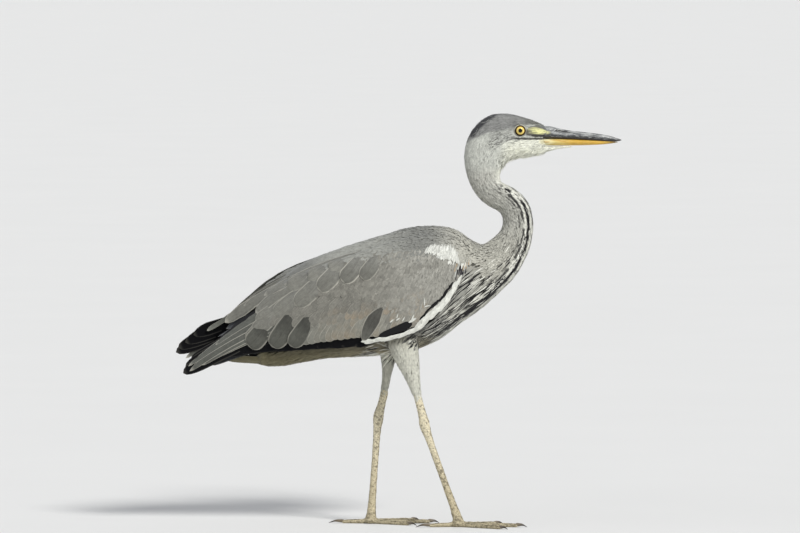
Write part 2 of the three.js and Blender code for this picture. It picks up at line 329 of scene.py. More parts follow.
def flesh_surface():
    """One closed surface round all the flesh, at the outside of the coat, with the nodes' seams gone."""
    parts = []
    for node in FLESH:
        part = merged_copy(node, "flesh_" + node)
        bare = node.startswith(BARE)
        apply_modifier(part, "DISPLACE", mid_level=0, strength=(0.25 if bare else SWELL) * MM)
        parts.append(part)
    activate(parts[0])
    for part in parts:
        part.select_set(True)
    bpy.ops.object.join()
    skin = bpy.context.object
    skin.name = skin.data.name = "skin"
    apply_modifier(skin, "REMESH", mode="VOXEL", voxel_size=SKIN_VOXEL * MM)
    apply_modifier(skin, "SMOOTH", factor=0.5, iterations=8)
    points = vertices_of(skin.data)
    fine = (points[:, 2] < COARSE_ABOVE) | ((points[:, 2] > HEAD_FLOOR) & (points[:, 0] > HEAD_BACK))
    broad = skin.vertex_groups.new(name="broad")
    broad.add(np.flatnonzero(~fine).tolist(), 1.0, "REPLACE")
    apply_modifier(skin, "DECIMATE", ratio=SKIN_SHARE, vertex_group="broad", vertex_group_factor=1.0)
    skin.vertex_groups.clear()
    for reach in (LID_RIM_RADIUS + 6, LID_RIM_RADIUS + 3):
        refine_round_eyes(skin, reach)
    bpy.ops.object.mode_set(mode="EDIT")
    bpy.ops.mesh.select_all(action="SELECT")
    bpy.ops.mesh.quads_convert_to_tris()
    bpy.ops.object.mode_set(mode="OBJECT")
    return skin


def refine_round_eyes(skin, reach):
    """Cuts the faces near both eyes in four, for the lids."""
    activate(skin)
    mesh = skin.data
    centres = np.zeros(len(mesh.polygons) * 3, np.float32)
    mesh.polygons.foreach_get("center", centres)
    centres = centres.reshape(-1, 3) / MM
    near = np.hypot(centres[:, 0] - EYE[0], centres[:, 2] - EYE[2]) < reach
    mesh.vertices.foreach_set("select", np.zeros(len(mesh.vertices), bool))
    mesh.edges.foreach_set("select", np.zeros(len(mesh.edges), bool))
    mesh.polygons.foreach_set("select", near)
    bpy.ops.object.mode_set(mode="EDIT")
    bpy.ops.mesh.select_mode(type="FACE")
    bpy.ops.mesh.subdivide(number_cuts=1)
    bpy.ops.mesh.vertices_smooth(factor=0.5, repeat=2)
    bpy.ops.object.mode_set(mode="OBJECT")


def node_tree_of(names):
    """A search tree over the faces of some nodes, and the node that each face belongs to."""
    points, faces, owners = [], [], []
    for name in names:
        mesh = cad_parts[name].data
        base = len(points)
        points += (vertices_of(mesh)).tolist()
        faces += [[base + i for i in polygon.vertices] for polygon in mesh.polygons]
        owners += [name] * len(mesh.polygons)
    return BVHTree.FromPolygons(points, faces), owners


def eased(values, edges, times):
    """Values at the vertices, averaged with their neighbours so many times."""
    count = np.bincount(edges.ravel(), minlength=len(values))
    for _ in range(times):
        total = np.bincount(edges[:, 0], values[edges[:, 1]], len(values))
        total += np.bincount(edges[:, 1], values[edges[:, 0]], len(values))
        values = (values + total / np.maximum(count, 1)) / 2
    return values


FACE_REACH = [(551, 3.5), (556, 2), (561, -0.5), (565, 0), (571, 6), (575, 4.5), (579, 1.5)]  # z, forwards


def drawn_to_bill(points):
    """The outline with the front rim of the face drawn over the root of the bill, and closer to it."""
    x, y, z = points.T
    front = smoothstep(201, 208.5, x) * smoothstep(551, 552.5, z)
    moved = np.stack([along(FACE_REACH, z) * front, -0.055 * y * front, np.zeros(len(x))], -1)
    return points + moved


WING_SKIN_END = -180.0
TRIES = 4  # roots tried for each that has room


class Hide:
    """The skin, with the outline of the coat over it. Both have the same vertices and triangles."""

    def __init__(self, skin):
        mesh = skin.data
        self.outline = drawn_to_bill(vertices_of(mesh))
        self.normals = np.array([v.normal for v in mesh.vertices])
        self.triangles = np.array([p.vertices for p in mesh.polygons])
        self.tree = BVHTree.FromPolygons(self.outline.tolist(), self.triangles.tolist())
        self.ankles = {side: self.foot_middle(side) for side in ("right", "left")}
        finder, owners = node_tree_of(FLESH)
        self.parts = np.array([owners[finder.find_nearest(p)[2]] for p in self.outline.tolist()])
        self.triangle_parts = self.parts[self.triangles[:, 0]]
        edges = np.array([e.vertices for e in mesh.edges])
        self.skin = self.outline - self.normals * self.depths(edges)[:, None]
        self.shape_lids()
        self.draw_in_wings()
        self.skin[:, 2] = np.maximum(self.skin[:, 2], 0)
        set_vertices(mesh, self.skin)
        self.unwrap(skin)
        self.front = measure_front(self.outline)

    def foot_middle(self, side):
        """The place where the four toes of a foot meet."""
        points = vertices_of(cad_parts["tarsus_" + side].data)
        return points[points[:, 2] <= np.quantile(points[:, 2], 0.06)].mean(0).tolist()

    def depths(self, edges):
        """How deep the skin lies at each vertex."""
        depth = np.zeros(len(self.outline))
        for part, value in COAT_DEPTH.items():
            depth[of_part(self.parts, part)] = value
        depth = eased(depth, edges, 25)
        depth[of_part(self.parts, *BARE)] = 0
        inwards = []
        for point, normal in zip(self.outline.tolist(), (-self.normals).tolist()):
            start = Vector(point) + 0.05 * Vector(normal)
            reach = self.tree.ray_cast(start, Vector(normal))[3]
            inwards.append(reach if reach is not None else 0)
        depth = np.minimum(depth, MOST_OF_THICKNESS * eased(np.array(inwards), edges, 3))
        return depth * (1 - 0.85 * bare_face(self.outline))

    def draw_in_wings(self):
        """Draws the thin rear ends of the wings forwards, so that they end under the long feathers."""
        past = np.where(of_part(self.parts, "wing"), np.maximum(WING_SKIN_END - self.skin[:, 0], 0), 0) * 0.8
        self.skin[:, 0] += past
        self.skin[:, 2] += 0.6 * past

    def shape_lids(self):
        """Sinks the skin behind each eyeball and raises a rounded lid round it."""
        y = self.skin[:, 1]
        side = np.sign(y)
        reach = eye_distance(self.skin)
        ball = EYE[1] + np.sqrt(np.maximum(EYE_RADIUS**2 - np.minimum(reach, EYE_RADIUS - 0.2) ** 2, 0))
        behind = ball - 1.6
        lid = ball + 0.9 * np.sin(np.clip((reach - LID_RADIUS) / 2.4, 0, 1) * math.pi * 0.62)
        opened = smoothstep(LID_RADIUS - 0.35, LID_RADIUS + 0.25, reach)
        shaped = behind + (lid - behind) * opened
        outside = smoothstep(LID_RIM_RADIUS - 0.9, LID_RIM_RADIUS + 3, reach)
        near = (reach < LID_RIM_RADIUS + 3) & (np.abs(y) > 6)
        wanted = shaped + (np.abs(y) - shaped) * outside
        self.skin[near, 1] = (side * wanted)[near]

    def unwrap(self, skin):
        """The unwrap of the skin's own shape, which also says where each tuft's patch lies."""
        activate(skin)
        bpy.ops.object.mode_set(mode="EDIT")
        bpy.ops.mesh.select_all(action="SELECT")
        skin.data.uv_layers.new(name="OFBake")
        bpy.ops.uv.smart_project(angle_limit=math.radians(66), island_margin=0.001)
        bpy.ops.object.mode_set(mode="OBJECT")
        flat = np.zeros(len(skin.data.loops) * 2, np.float32)
        skin.data.uv_layers["OFBake"].data.foreach_get("uv", flat)
        self.unwrapped = flat.reshape(-1, 3, 2).astype(float)

    def nearest(self, points):
        """The outline's points nearest to some points, its normals there and the faces."""
        found = [self.tree.find_nearest(p) for p in points.tolist()]
        faces = np.array([f[2] for f in found])
        places = np.array([f[0][:] for f in found])
        return places, unit(self.normals[self.triangles[faces]].mean(1)), faces

    def scatter(self, chosen, spacing, rng):
        """Roots spread over the chosen triangles, no two nearer than the spacing."""
        chosen = np.flatnonzero(chosen)
        a, b, c = (self.outline[self.triangles[chosen, i]] for i in range(3))
        areas = np.linalg.norm(np.cross(b - a, c - a), axis=1) / 2
        count = int(TRIES * areas.sum() / spacing**2)
        faces = chosen[rng.choice(len(chosen), count, p=areas / areas.sum())]
        shares = rng.random((count, 2))
        over = shares.sum(1) > 1
        shares[over] = 1 - shares[over]
        weights = np.c_[1 - shares.sum(1), shares]
        points = np.einsum("nk,nkd->nd", weights, self.outline[self.triangles[faces]])
        kept = thinned(points, spacing)
        return self.roots(points[kept], faces[kept], weights[kept])

    def roots_near(self, points):
        """Roots at the outline's points nearest to some points."""
        places, _, faces = self.nearest(points)
        weights = np.full((len(points), 3), 1 / 3)
        return self.roots(places, faces, weights)

    def roots(self, points, faces, weights):
        corners = self.triangles[faces]
        under = np.einsum("nk,nkd->nd", weights, self.skin[corners])
        normals = unit(np.einsum("nk,nkd->nd", weights, self.normals[corners]))
        patches = np.einsum("nk,nkd->nd", weights, self.unwrapped[faces])
        return Roots(points, under, normals, patches)


class Roots:
    """Where tufts stand: on the outline, on the skin below it, and on the skin's unwrap."""

    def __init__(self, points, under, normals, patches):
        self.points, self.under, self.normals, self.patches = points, under, normals, patches
        self.count = len(points)

    def only(self, chosen):
        return Roots(self.points[chosen], self.under[chosen], self.normals[chosen], self.patches[chosen])

    def depth(self):
        return np.linalg.norm(self.points - self.under, axis=1)


def thinned(points, spacing):
    """The numbers of the points kept when each has to stand clear of those kept before it."""
    cells = {}
    kept = []
    limit = spacing * spacing
    keys = np.floor(points / spacing).astype(int).tolist()
    around = [(i, j, k) for i in (-1, 0, 1) for j in (-1, 0, 1) for k in (-1, 0, 1)]
    for number, (point, (i, j, k)) in enumerate(zip(points.tolist(), keys)):
        x, y, z = point
        clear = True
        for di, dj, dk in around:
            for ox, oy, oz in cells.get((i + di, j + dj, k + dk), ()):
                if (x - ox) ** 2 + (y - oy) ** 2 + (z - oz) ** 2 < limit:
                    clear = False
                    break
            if not clear:
                break
        if clear:
            cells.setdefault((i, j, k), []).append(point)
            kept.append(number)
    return np.array(kept)


def eye_distance(points):
    """Distance of points from the axis through both eyes."""
    return np.hypot((points[:, 0] - EYE[0]) / 1.04, points[:, 2] - EYE[2])


LORE_PATCH = [  # the yellow before the eye
    (185, 578), (193, 578.8), (202, 578), (214, 573), (214, 569.6), (200, 568.6), (187, 570.5),
]
LORE = [(220, 578), (220, 565), (198, 565), (185, 568), (183, 573), (188, 578), (200, 580)]
LORE_BRIGHT = [(194, 573), (209, 571)]
LORE_WEDGE = [(183, 574), (191, 573)]
LORE_MARK = [(191, 570.6), (198, 571.2)]
LORE_LOW = [(184, 566.5), (200, 566.4), (220, 566.4)]


def bare_face(points):
    """1 on the bare skin between the eye and the bill, 0 where feathers grow."""
    x, y, z = points.T
    lore = inside(x, z, LORE) & (np.abs(y) > 3)
    edge = np.where(lore, 1.0, near_line(x, z, LORE + LORE[:1], 0, 2.0))
    edge = edge * (np.abs(y) > 3) * (x > 175)
    return np.maximum(edge, 1 - smoothstep(LID_RIM_RADIUS, LID_RIM_RADIUS + 2, eye_distance(points)))


# ---- Markings ----
CAP_EDGE = [(96, 556), (110, 563), (131, 572), (150, 575), (163, 578), (186, 582), (212, 581)]
NAPE_LINE = [(137, 598), (125, 590), (113, 579), (105, 568)]
NAPE_SLIVER = [(92, 542), (91, 528)]
GAPE_LINE = [(150, 561), (165, 562.5), (186, 562), (214, 562)]
GUM_LINE = [(206, 558), (218, 557)]
BROW_LINE = [(168, 583), (158, 577), (146, 571), (136, 567)]
EAR_LINE = [(160, 566), (150, 561), (143, 557)]
SPECKLED_LINE = [(170, 565), (152, 564), (138, 557)]
# painted shadow: the far thigh is painted darker, as if in the body's shadow
FAR_THIGH_PAINTED_SHADOW = 0.86
NECK_TOP = station_of(121, 512)[0]
STREAK_TOP = station_of(136, 486)[0]
NECK_MIDDLE = station_of(171, 445)[0]
NECK_BASE = station_of(150, 393)[0]
BREAST = station_of(80, 363)[0]
# Rows of dark streaks: how far behind the front of the neck at its top, its middle and the breast, half width
# and weight.
STREAK_ROWS = (
    (1.0, 2.0, 3.5, 1.5, 0.85),
    (6.5, 8.0, 11.0, 2.4, 1.0),
    (11.5, 14.5, 21.0, 2.0, 0.9),
    (16.0, 19.5, 30.0, 1.4, 0.6),
    (20.0, 24.0, 40.0, 1.1, 0.3),
)
UNBROKEN_ROW = 1  # runs on without gaps below the middle of the neck


def measure_front(outline):
    """How far the outline reaches from the spine towards the belly, station by station."""
    stations, below = below_spine(outline)
    middle = np.abs(outline[:, 1]) < 8
    bins = np.arange(0, stations.max() + 12, 12)
    reach = [below[middle & (np.abs(stations - b) < 9)].max(initial=1) for b in bins]
    return bins, np.array(reach)


def behind_front(points, front):
    """Station of each point, how far it is below the spine, and how far behind the front of the neck."""
    stations, below = below_spine(points)
    return stations, below, np.interp(stations, *front) - below


def front_streaks(points, front):
    """How black the front of the neck and the breast are, from rows of long dark streaks on white."""
    stations, _, behind = behind_front(points, front)
    marks = np.array([STREAK_TOP, NECK_MIDDLE, BREAST])
    straight = np.stack([stations, points[:, 1] * 0], -1)
    black = np.zeros(len(points))
    for number, (top, middle, breast, half, weight) in enumerate(STREAK_ROWS):
        centre = np.interp(stations, marks, [top, middle, breast])
        wide = half * (1 + 0.8 * smoothstep(NECK_BASE, BREAST, stations))
        broken = ripple(straight, 9, 40 + number)
        centre = centre + 1.2 * ripple(straight, 30, 60 + number)
        row = 1 - smoothstep(wide * 0.6, wide * 1.25, np.abs(behind - centre))
        if number == UNBROKEN_ROW:
            broken = broken + smoothstep(NECK_MIDDLE - 30, NECK_MIDDLE + 10, stations)
        black = np.maximum(black, row * weight * smoothstep(-0.5, -0.1, broken))
    starts = smoothstep(STREAK_TOP - 6, STREAK_TOP + 10, stations)
    ends = 1 - smoothstep(BREAST + 90, BREAST + 150, stations)
    return black * starts * ends, behind


def head_markings(points):
    x, z = points[:, 0], points[:, 2]
    colour = mix(CHEEK, THROAT, smoothstep(565, 558, z + 0.12 * (185 - x)) * smoothstep(140, 165, x))
    over_edge = z - along(CAP_EDGE, x)
    cap = smoothstep(-2.5, 2.5, over_edge)
    colour = mix(colour, mix(CAP_GREY, FOREHEAD_GREY, smoothstep(165, 200, x)), cap)
    colour = mix(colour, BILL_SLATE * 1.2, 0.8 * smoothstep(200, 211, x) * cap)
    gums = near_line(x, z, GUM_LINE, 1.5, 5.5)
    colour = mix(colour, mix(THROAT, BILL_CREAM, 0.6), 0.8 * gums * smoothstep(196, 208, x))
    colour = mix(colour, CAP_GREY * 0.8, 0.45 * near_line(x, z, BROW_LINE, 4, 10))
    nape = near_line(x, z, NAPE_LINE, 2.0, 6.0)
    colour = mix(colour, NAPE_BLACK, 0.92 * nape * smoothstep(-6, 2, over_edge + 14))
    colour = mix(colour, NAPE_BLACK, 0.7 * near_line(x, z, NAPE_SLIVER, 0.8, 2.4))
    gape = near_line(x, z, GAPE_LINE, 0.8, 2.1)
    colour = mix(colour, BILL_DARK, 0.9 * gape * smoothstep(155, 172, x))
    return mix(colour, CAP_GREY, 0.35 * near_line(x, z, EAR_LINE, 2, 7))


def neck_markings(points, stations, front):
    colour = mix(NAPE_GREY, NECK_GREY, smoothstep(NECK_TOP, NECK_MIDDLE, stations))
    colour = mix(colour, NECK_BUFF, smoothstep(NECK_MIDDLE, NECK_BASE, stations))
    black, behind = front_streaks(points, front)
    white_edge = np.interp(stations, [NECK_TOP, STREAK_TOP, NECK_MIDDLE, BREAST], [7, 11, 15, 26])
    colour = mix(colour, STREAK_WHITE, 1 - smoothstep(white_edge * 0.75, white_edge * 1.15, behind))
    throat = (1 - smoothstep(NECK_TOP - 10, STREAK_TOP, stations)) * (1 - smoothstep(4, 16, behind))
    colour = mix(colour, THROAT, throat)
    return mix(colour, STREAK_BLACK, black), behind


def trunk_markings(points):
    x, y, z = points.T
    colour = mix(MANTLE, BACK_GREY * 0.97, smoothstep(30, -40, x))
    colour = mix(colour, MANTLE * 0.9, smoothstep(-90, -140, x))
    # painted shade: the low part of the trunk takes the darkened belly and vent colours
    low = 1 - smoothstep(-6, 26, z - 262)
    colour = mix(colour, BELLY_IN_SHADE, low)
    colour = mix(colour, VENT_IN_SHADE, smoothstep(-40, -120, x) * low)
    colour = mix(colour, TAIL_GREY * 0.8, smoothstep(-198, -212, x))
    flank = smoothstep(16, 34, np.abs(y)) * (1 - smoothstep(262, 276, z)) * (1 - smoothstep(0, 40, x))
    return mix(colour, FLANK_DARK, 0.55 * flank)


def leg_markings(points):
    z = points[:, 2]
    colour = mix(LEG_SHADE, LEG_PALE, smoothstep(40, 150, z))
    colour = mix(colour, LEG_SHADE * 0.75, (1 - smoothstep(8, 22, z)) * 0.6)
    flecks = smoothstep(0.25, 0.7, ripple(points, 2.2, 7) + 0.35 * ripple(points, 14, 8))
    return mix(colour, LEG_FLECK, 0.6 * flecks)


def markings(points, parts, front):
    """Colour of the bird at points on the named parts, the same for the skin and for the coat over it."""
    stations, _ = below_spine(points)
    neck, behind = neck_markings(points, stations, front)
    ahead = 1 - smoothstep(BREAST - 30, BREAST + 25, stations)
    plumes = (1 - smoothstep(22, 50, behind)) * (1 - smoothstep(BREAST + 80, BREAST + 170, stations))
    colour = mix(trunk_markings(points), neck, np.maximum(ahead, plumes))
    x, z = points[:, 0], points[:, 2]
    dark = np.maximum(smoothstep(-205, -232, x), 1 - smoothstep(6, 16, z - along(LOWER_EDGE, x)))
    colour = mix(colour, BLACK * 1.5, np.where(of_part(parts, "wing"), dark, 0))
    colour = mix(colour, head_markings(points), smoothstep(NECK_TOP + 6, NECK_TOP - 14, stations))
    thigh = of_part(parts, "thigh")
    colour[thigh] = mix(THIGH, BELLY_IN_SHADE, smoothstep(250, 285, z[thigh]) * 0.5)
    # painted shadow on the far thigh
    colour[parts == "thigh_left"] *= FAR_THIGH_PAINTED_SHADOW
    bare = of_part(parts, *BARE)
    colour[bare] = leg_markings(points[bare])
    head = of_part(parts, "head")
    colour[head] = mix(colour[head], face_skin(points[head]), bare_face(points[head]))
    return np.clip(colour, 0, 1)


def face_skin(points):
    """The yellow skin before the eye, and the lids: dark inside, with a pale rim."""
    x, z = points[:, 0], points[:, 2]
    reach = eye_distance(points)
    uneven = ripple(np.stack([x * 0.35, z], -1), 1.8, 21)
    patch = from_line(x, z, LORE_PATCH + LORE_PATCH[:1]) * np.where(inside(x, z, LORE_PATCH), -1, 1)
    yellow = 1 - smoothstep(-1.2, 1.0, patch + 0.7 * uneven)
    bright = 1 - smoothstep(1.5, 6, from_line(x, z, LORE_BRIGHT) + uneven)
    yellow = yellow * (0.5 + 0.5 * bright) * (1 - 0.75 * near_line(x, z, LORE_WEDGE, 0.6, 2.6))
    colour = mix(mix(FOREHEAD_GREY, LORE_DARK, 0.6), BILL_SLATE, smoothstep(198, 209, x))
    colour = mix(colour, LORE_YELLOW, 0.95 * yellow)
    colour = mix(colour, LORE_DARK * 0.7, 0.6 * near_line(x, z, LORE_MARK, 0.4, 1.7))
    wrinkle = np.abs(np.sin((z - 572.5 + (x - 198) * 0.1) * 1.25 + 0.8 * uneven)) ** 10
    colour = mix(colour, LORE_DARK * 0.6, 0.6 * wrinkle)
    colour = mix(colour, BILL_DARK, 0.85 * near_line(x, z, LORE_LOW, 0.8, 2.4))
    rim = smoothstep(LID_RADIUS + 1.1, LID_RADIUS + 1.5, reach)
    above = smoothstep(-2, 5, z - EYE[2])
    lid = mix(LID_DARK, mix(LID_LOW, LID_PALE, above), rim)
    return mix(lid, colour, smoothstep(LID_RIM_RADIUS - 0.2, LID_RIM_RADIUS + 0.8, reach))


# ---- Vanes ----
TUFT_RING = np.array([(-1, 0), (0, 1), (1, 0)])
COVERT_RING = np.array([(-1, 0), (-0.6, 1), (0, 1), (0.6, 1), (1, 0), (0, -1)])
QUILL_RING = np.array([
    (-1, 0), (-0.9, 1), (-0.45, 1), (0, 1.6), (0.45, 1), (0.9, 1), (1, 0), (0.5, -1), (0, -1), (-0.5, -1),
])
QUILL_STATIONS = np.array([0.04, 0.15, 0.3, 0.45, 0.6, 0.72, 0.81, 0.88, 0.935, 0.975])


def pointed(stations, root=0.35, broadest=0.45):
    """Half width of a pointed tuft along its length, as a share of the widest."""
    rising = root + (1 - root) * smoothstep(0, broadest, stations)
    return rising * np.sqrt(np.clip(1 - ((stations - broadest) / (1 - broadest)).clip(0) ** 2, 0, 1))


def rounded(stations, root=0.4, shoulder=0.72):
    """Half width of a feather with a rounded tip."""
    rising = root + (1 - root) * smoothstep(0, 0.5, stations)
    return rising * np.sqrt(np.clip(1 - ((stations - shoulder) / (1 - shoulder)).clip(0) ** 2.2, 0, 1))


def leaf(stations):
    """Pointed at both ends and widest in the middle."""
    return pointed(stations, 0.12, 0.48)


def full(stations):
    """Half width of a broad feather that keeps its width nearly to the root."""
    return rounded(stations, 0.75, 0.7)


def lance(stations):
    """Half width of a long feather that narrows evenly to a blunt point."""
    rising = 0.5 + 0.5 * smoothstep(0, 0.35, stations)
    return rising * np.clip(1 - stations, 0, 1) ** 0.42 * (1 - 0.25 * stations)


def blunt(stations):
    """Half width of a scale, nearly as wide at both ends."""
    return np.clip(1 - np.abs(2 * stations - 1) ** 4, 0, 1) ** 0.5


def with_ends(stations):
    """Places along a blade, with its root and its tip."""
    return np.array([0, *stations, 1])


def patch_grid(count):
    """Places in the baking map for so many large feathers, in a square, and the side of each."""
    grid = math.ceil(math.sqrt(count))
    order = np.arange(count)
    return (np.stack([order % grid, order // grid], -1) + 0.5) / grid, GRID_FILL / grid


def vane_piece(name, lines, ups, halves, stations, ring, coat, patches, patch_size, camber, thickness):
    """Closed vanes as one mesh. Each has a line of points from root to tip, the up direction at each, a
    half width at each point between its ends, and a colour at every point."""
    count, rows = halves.shape
    around = len(ring)
    tangents = unit(np.gradient(lines, axis=1))
    sides = unit(np.cross(tangents, ups))
    square = np.cross(sides, tangents)
    across, face = ring[:, 0], ring[:, 1]
    half = halves[:, :, None, None]
    thin = thickness * (1 - 0.6 * stations[None, :, None, None])
    heights = camber * half * (1 - across[:, None] ** 2) + thin * face[:, None] / 2
    rings = lines[:, 1:-1, None] + sides[:, 1:-1, None] * half * across[:, None]
    rings = rings + square[:, 1:-1, None] * heights
    points = np.concatenate([lines[:, :1], rings.reshape(count, -1, 3), lines[:, -1:]], 1)
    each = points.shape[1]

    corners, sizes = [], []  # of one vane: vertex, row, place across, turn in the patch
    for k in range(around):
        after = (k + 1) % around
        first, second, middle = (across[k], k), (across[after], k + 1), (0, k + 0.5)
        for row in range(1, rows):
            start = 1 + (row - 1) * around
            corners += [(start + k, row, *first), (start + after, row, *second)]
            corners += [(start + around + after, row + 1, *second), (start + around + k, row + 1, *first)]
            sizes.append(4)
        last = 1 + (rows - 1) * around
        corners += [(1 + after, 1, *second), (1 + k, 1, *first), (0, 0, *middle)]
        corners += [(last + k, rows, *first), (last + after, rows, *second), (each - 1, rows + 1, *middle)]
        sizes += [3, 3]
    vertex, row, place, turn = np.array(corners).T
    vertex, row = vertex.astype(int), row.astype(int)
    levels = with_ends(stations)

    loops = (vertex[None] + (np.arange(count) * each)[:, None]).ravel()
    sizes = np.tile(sizes, count)
    mesh = bpy.data.meshes.new(name)
    mesh.vertices.add(count * each)
    mesh.vertices.foreach_set("co", (points * MM).astype(np.float32).ravel())
    mesh.loops.add(len(loops))
    mesh.loops.foreach_set("vertex_index", loops.astype(np.int32))
    mesh.polygons.add(len(sizes))
    mesh.polygons.foreach_set("loop_start", np.r_[0, np.cumsum(sizes)[:-1]].astype(np.int32))
    mesh.polygons.foreach_set("loop_total", sizes.astype(np.int32))
    mesh.update(calc_edges=True)
    mesh.shade_smooth()
    rail = np.tile(np.r_[True, np.tile(face == 0, rows), True], count)
    ends = np.zeros(len(mesh.edges) * 2, np.int32)
    mesh.edges.foreach_get("vertices", ends)
    mesh.edges.foreach_set("use_edge_sharp", rail[ends.reshape(-1, 2)].all(1))
    vane = np.stack([(place + 1) / 2, levels[row]], -1)
    bake = np.stack([turn / around, levels[row]], -1)
    spread = bake[None] * patch_size + (patches - patch_size / 2)[:, None]
    for layer, values in (("Vane", np.tile(vane, (count, 1))), ("OFBake", spread)):
        mesh.uv_layers.new(name=layer).data.foreach_set("uv", values.astype(np.float32).ravel())
    colours = np.concatenate([coat[:, :1], np.repeat(coat[:, 1:-1], around, 1), coat[:, -1:]], 1)
    colour_vertices(mesh, colours)
    piece = bpy.data.objects.new(name, mesh)
    bpy.context.scene.collection.objects.link(piece)
    return piece


def glide(hide, roots, ways, lengths, stations, raise_by):
    """Lines that leave the roots and keep to the outline, raised over it by raise_by at each station."""
    here, normals = roots.points, roots.normals
    heading = unit(ways - (ways * normals).sum(1, keepdims=True) * normals)
    lines, ups = [here + normals * raise_by[0][:, None]], [normals]
    before = 0
    for number, station in enumerate([*stations, 1.0], 1):
        here, normals, _ = hide.nearest(here + heading * (lengths * (station - before))[:, None])
        heading = unit(heading - (heading * normals).sum(1, keepdims=True) * normals)
        lines.append(here + normals * raise_by[number][:, None])
        ups.append(normals)
        before = station
    return np.stack(lines, 1), np.stack(ups, 1)


def tufts(hide, name, roots, ways, length, half, colour, rng, material, rise, spread, slot="plumage_pale",
          variety=0.06, stations=(0.12, 0.45, 0.8), ring=TUFT_RING, shape=pointed, shade_root=0.88,
          fringe=0.0, camber=0.12, thickness=0.16, tint=None):
    """A piece of small feathers over the skin. ways are their directions. colour is the part whose markings
    they have, or their own colours."""
    stations = np.array(stations)
    count = roots.count
    lengths = length * rng.uniform(0.82, 1.18, count)
    sidewise = np.cross(ways, roots.normals)
    ways = unit(ways + sidewise * rng.normal(0, spread, (count, 1)))
    deep = -0.5 * np.minimum(roots.depth(), 3.4)
    top = rise * rng.uniform(0.5, 1.5, count)
    levels = with_ends(stations)
    raise_by = [deep + (top - deep) * share**0.8 for share in levels]
    lines, ups = glide(hide, roots, ways, lengths, stations, raise_by)
    halves = half * rng.uniform(0.8, 1.25, (count, 1)) * shape(stations)[None]
    # painted shade: each tuft is painted darker at its root, where the tufts over it would shade it
    shades = shade_root + (1.03 - shade_root) * smoothstep(0, 0.8, levels)
    if isinstance(colour, str):
        parts = np.full(lines.size // 3, colour)
        colour = markings(lines.reshape(-1, 3), parts, hide.front).reshape(count, -1, 3)
    else:
        colour = np.atleast_2d(colour)[:, None]
    own = 1 + rng.normal(0, variety, (count, 1, 1))
    if tint is not None:
        own = own * tint[:, None]
    coat = np.clip(colour * own * shades[None, :, None], 0, 1)
    coat = np.concatenate([coat, np.full((*coat.shape[:2], 1), fringe)], 2)
    piece = vane_piece(name, lines, ups, halves, stations, ring, coat, roots.patches, PATCH, camber,
                       thickness)
    finish_piece(piece, material, slot)


def quills(name, rows, stations, material, ring, camber, thickness, *nodes):
    """A piece of large feathers away from the wings. A row is a line, an up direction, half widths and a
    colour with its share of fringe."""
    lines, ups, halves, colours = (np.array(column) for column in zip(*rows))
    ups, coat = (np.repeat(column[:, None], len(stations) + 2, 1) for column in (unit(ups), colours))
    patches, size = patch_grid(len(rows))
    piece = vane_piece(name, lines, ups, halves, stations, ring, coat, patches, size, camber, thickness)
    finish_piece(piece, material, "plumage_grey", *nodes)


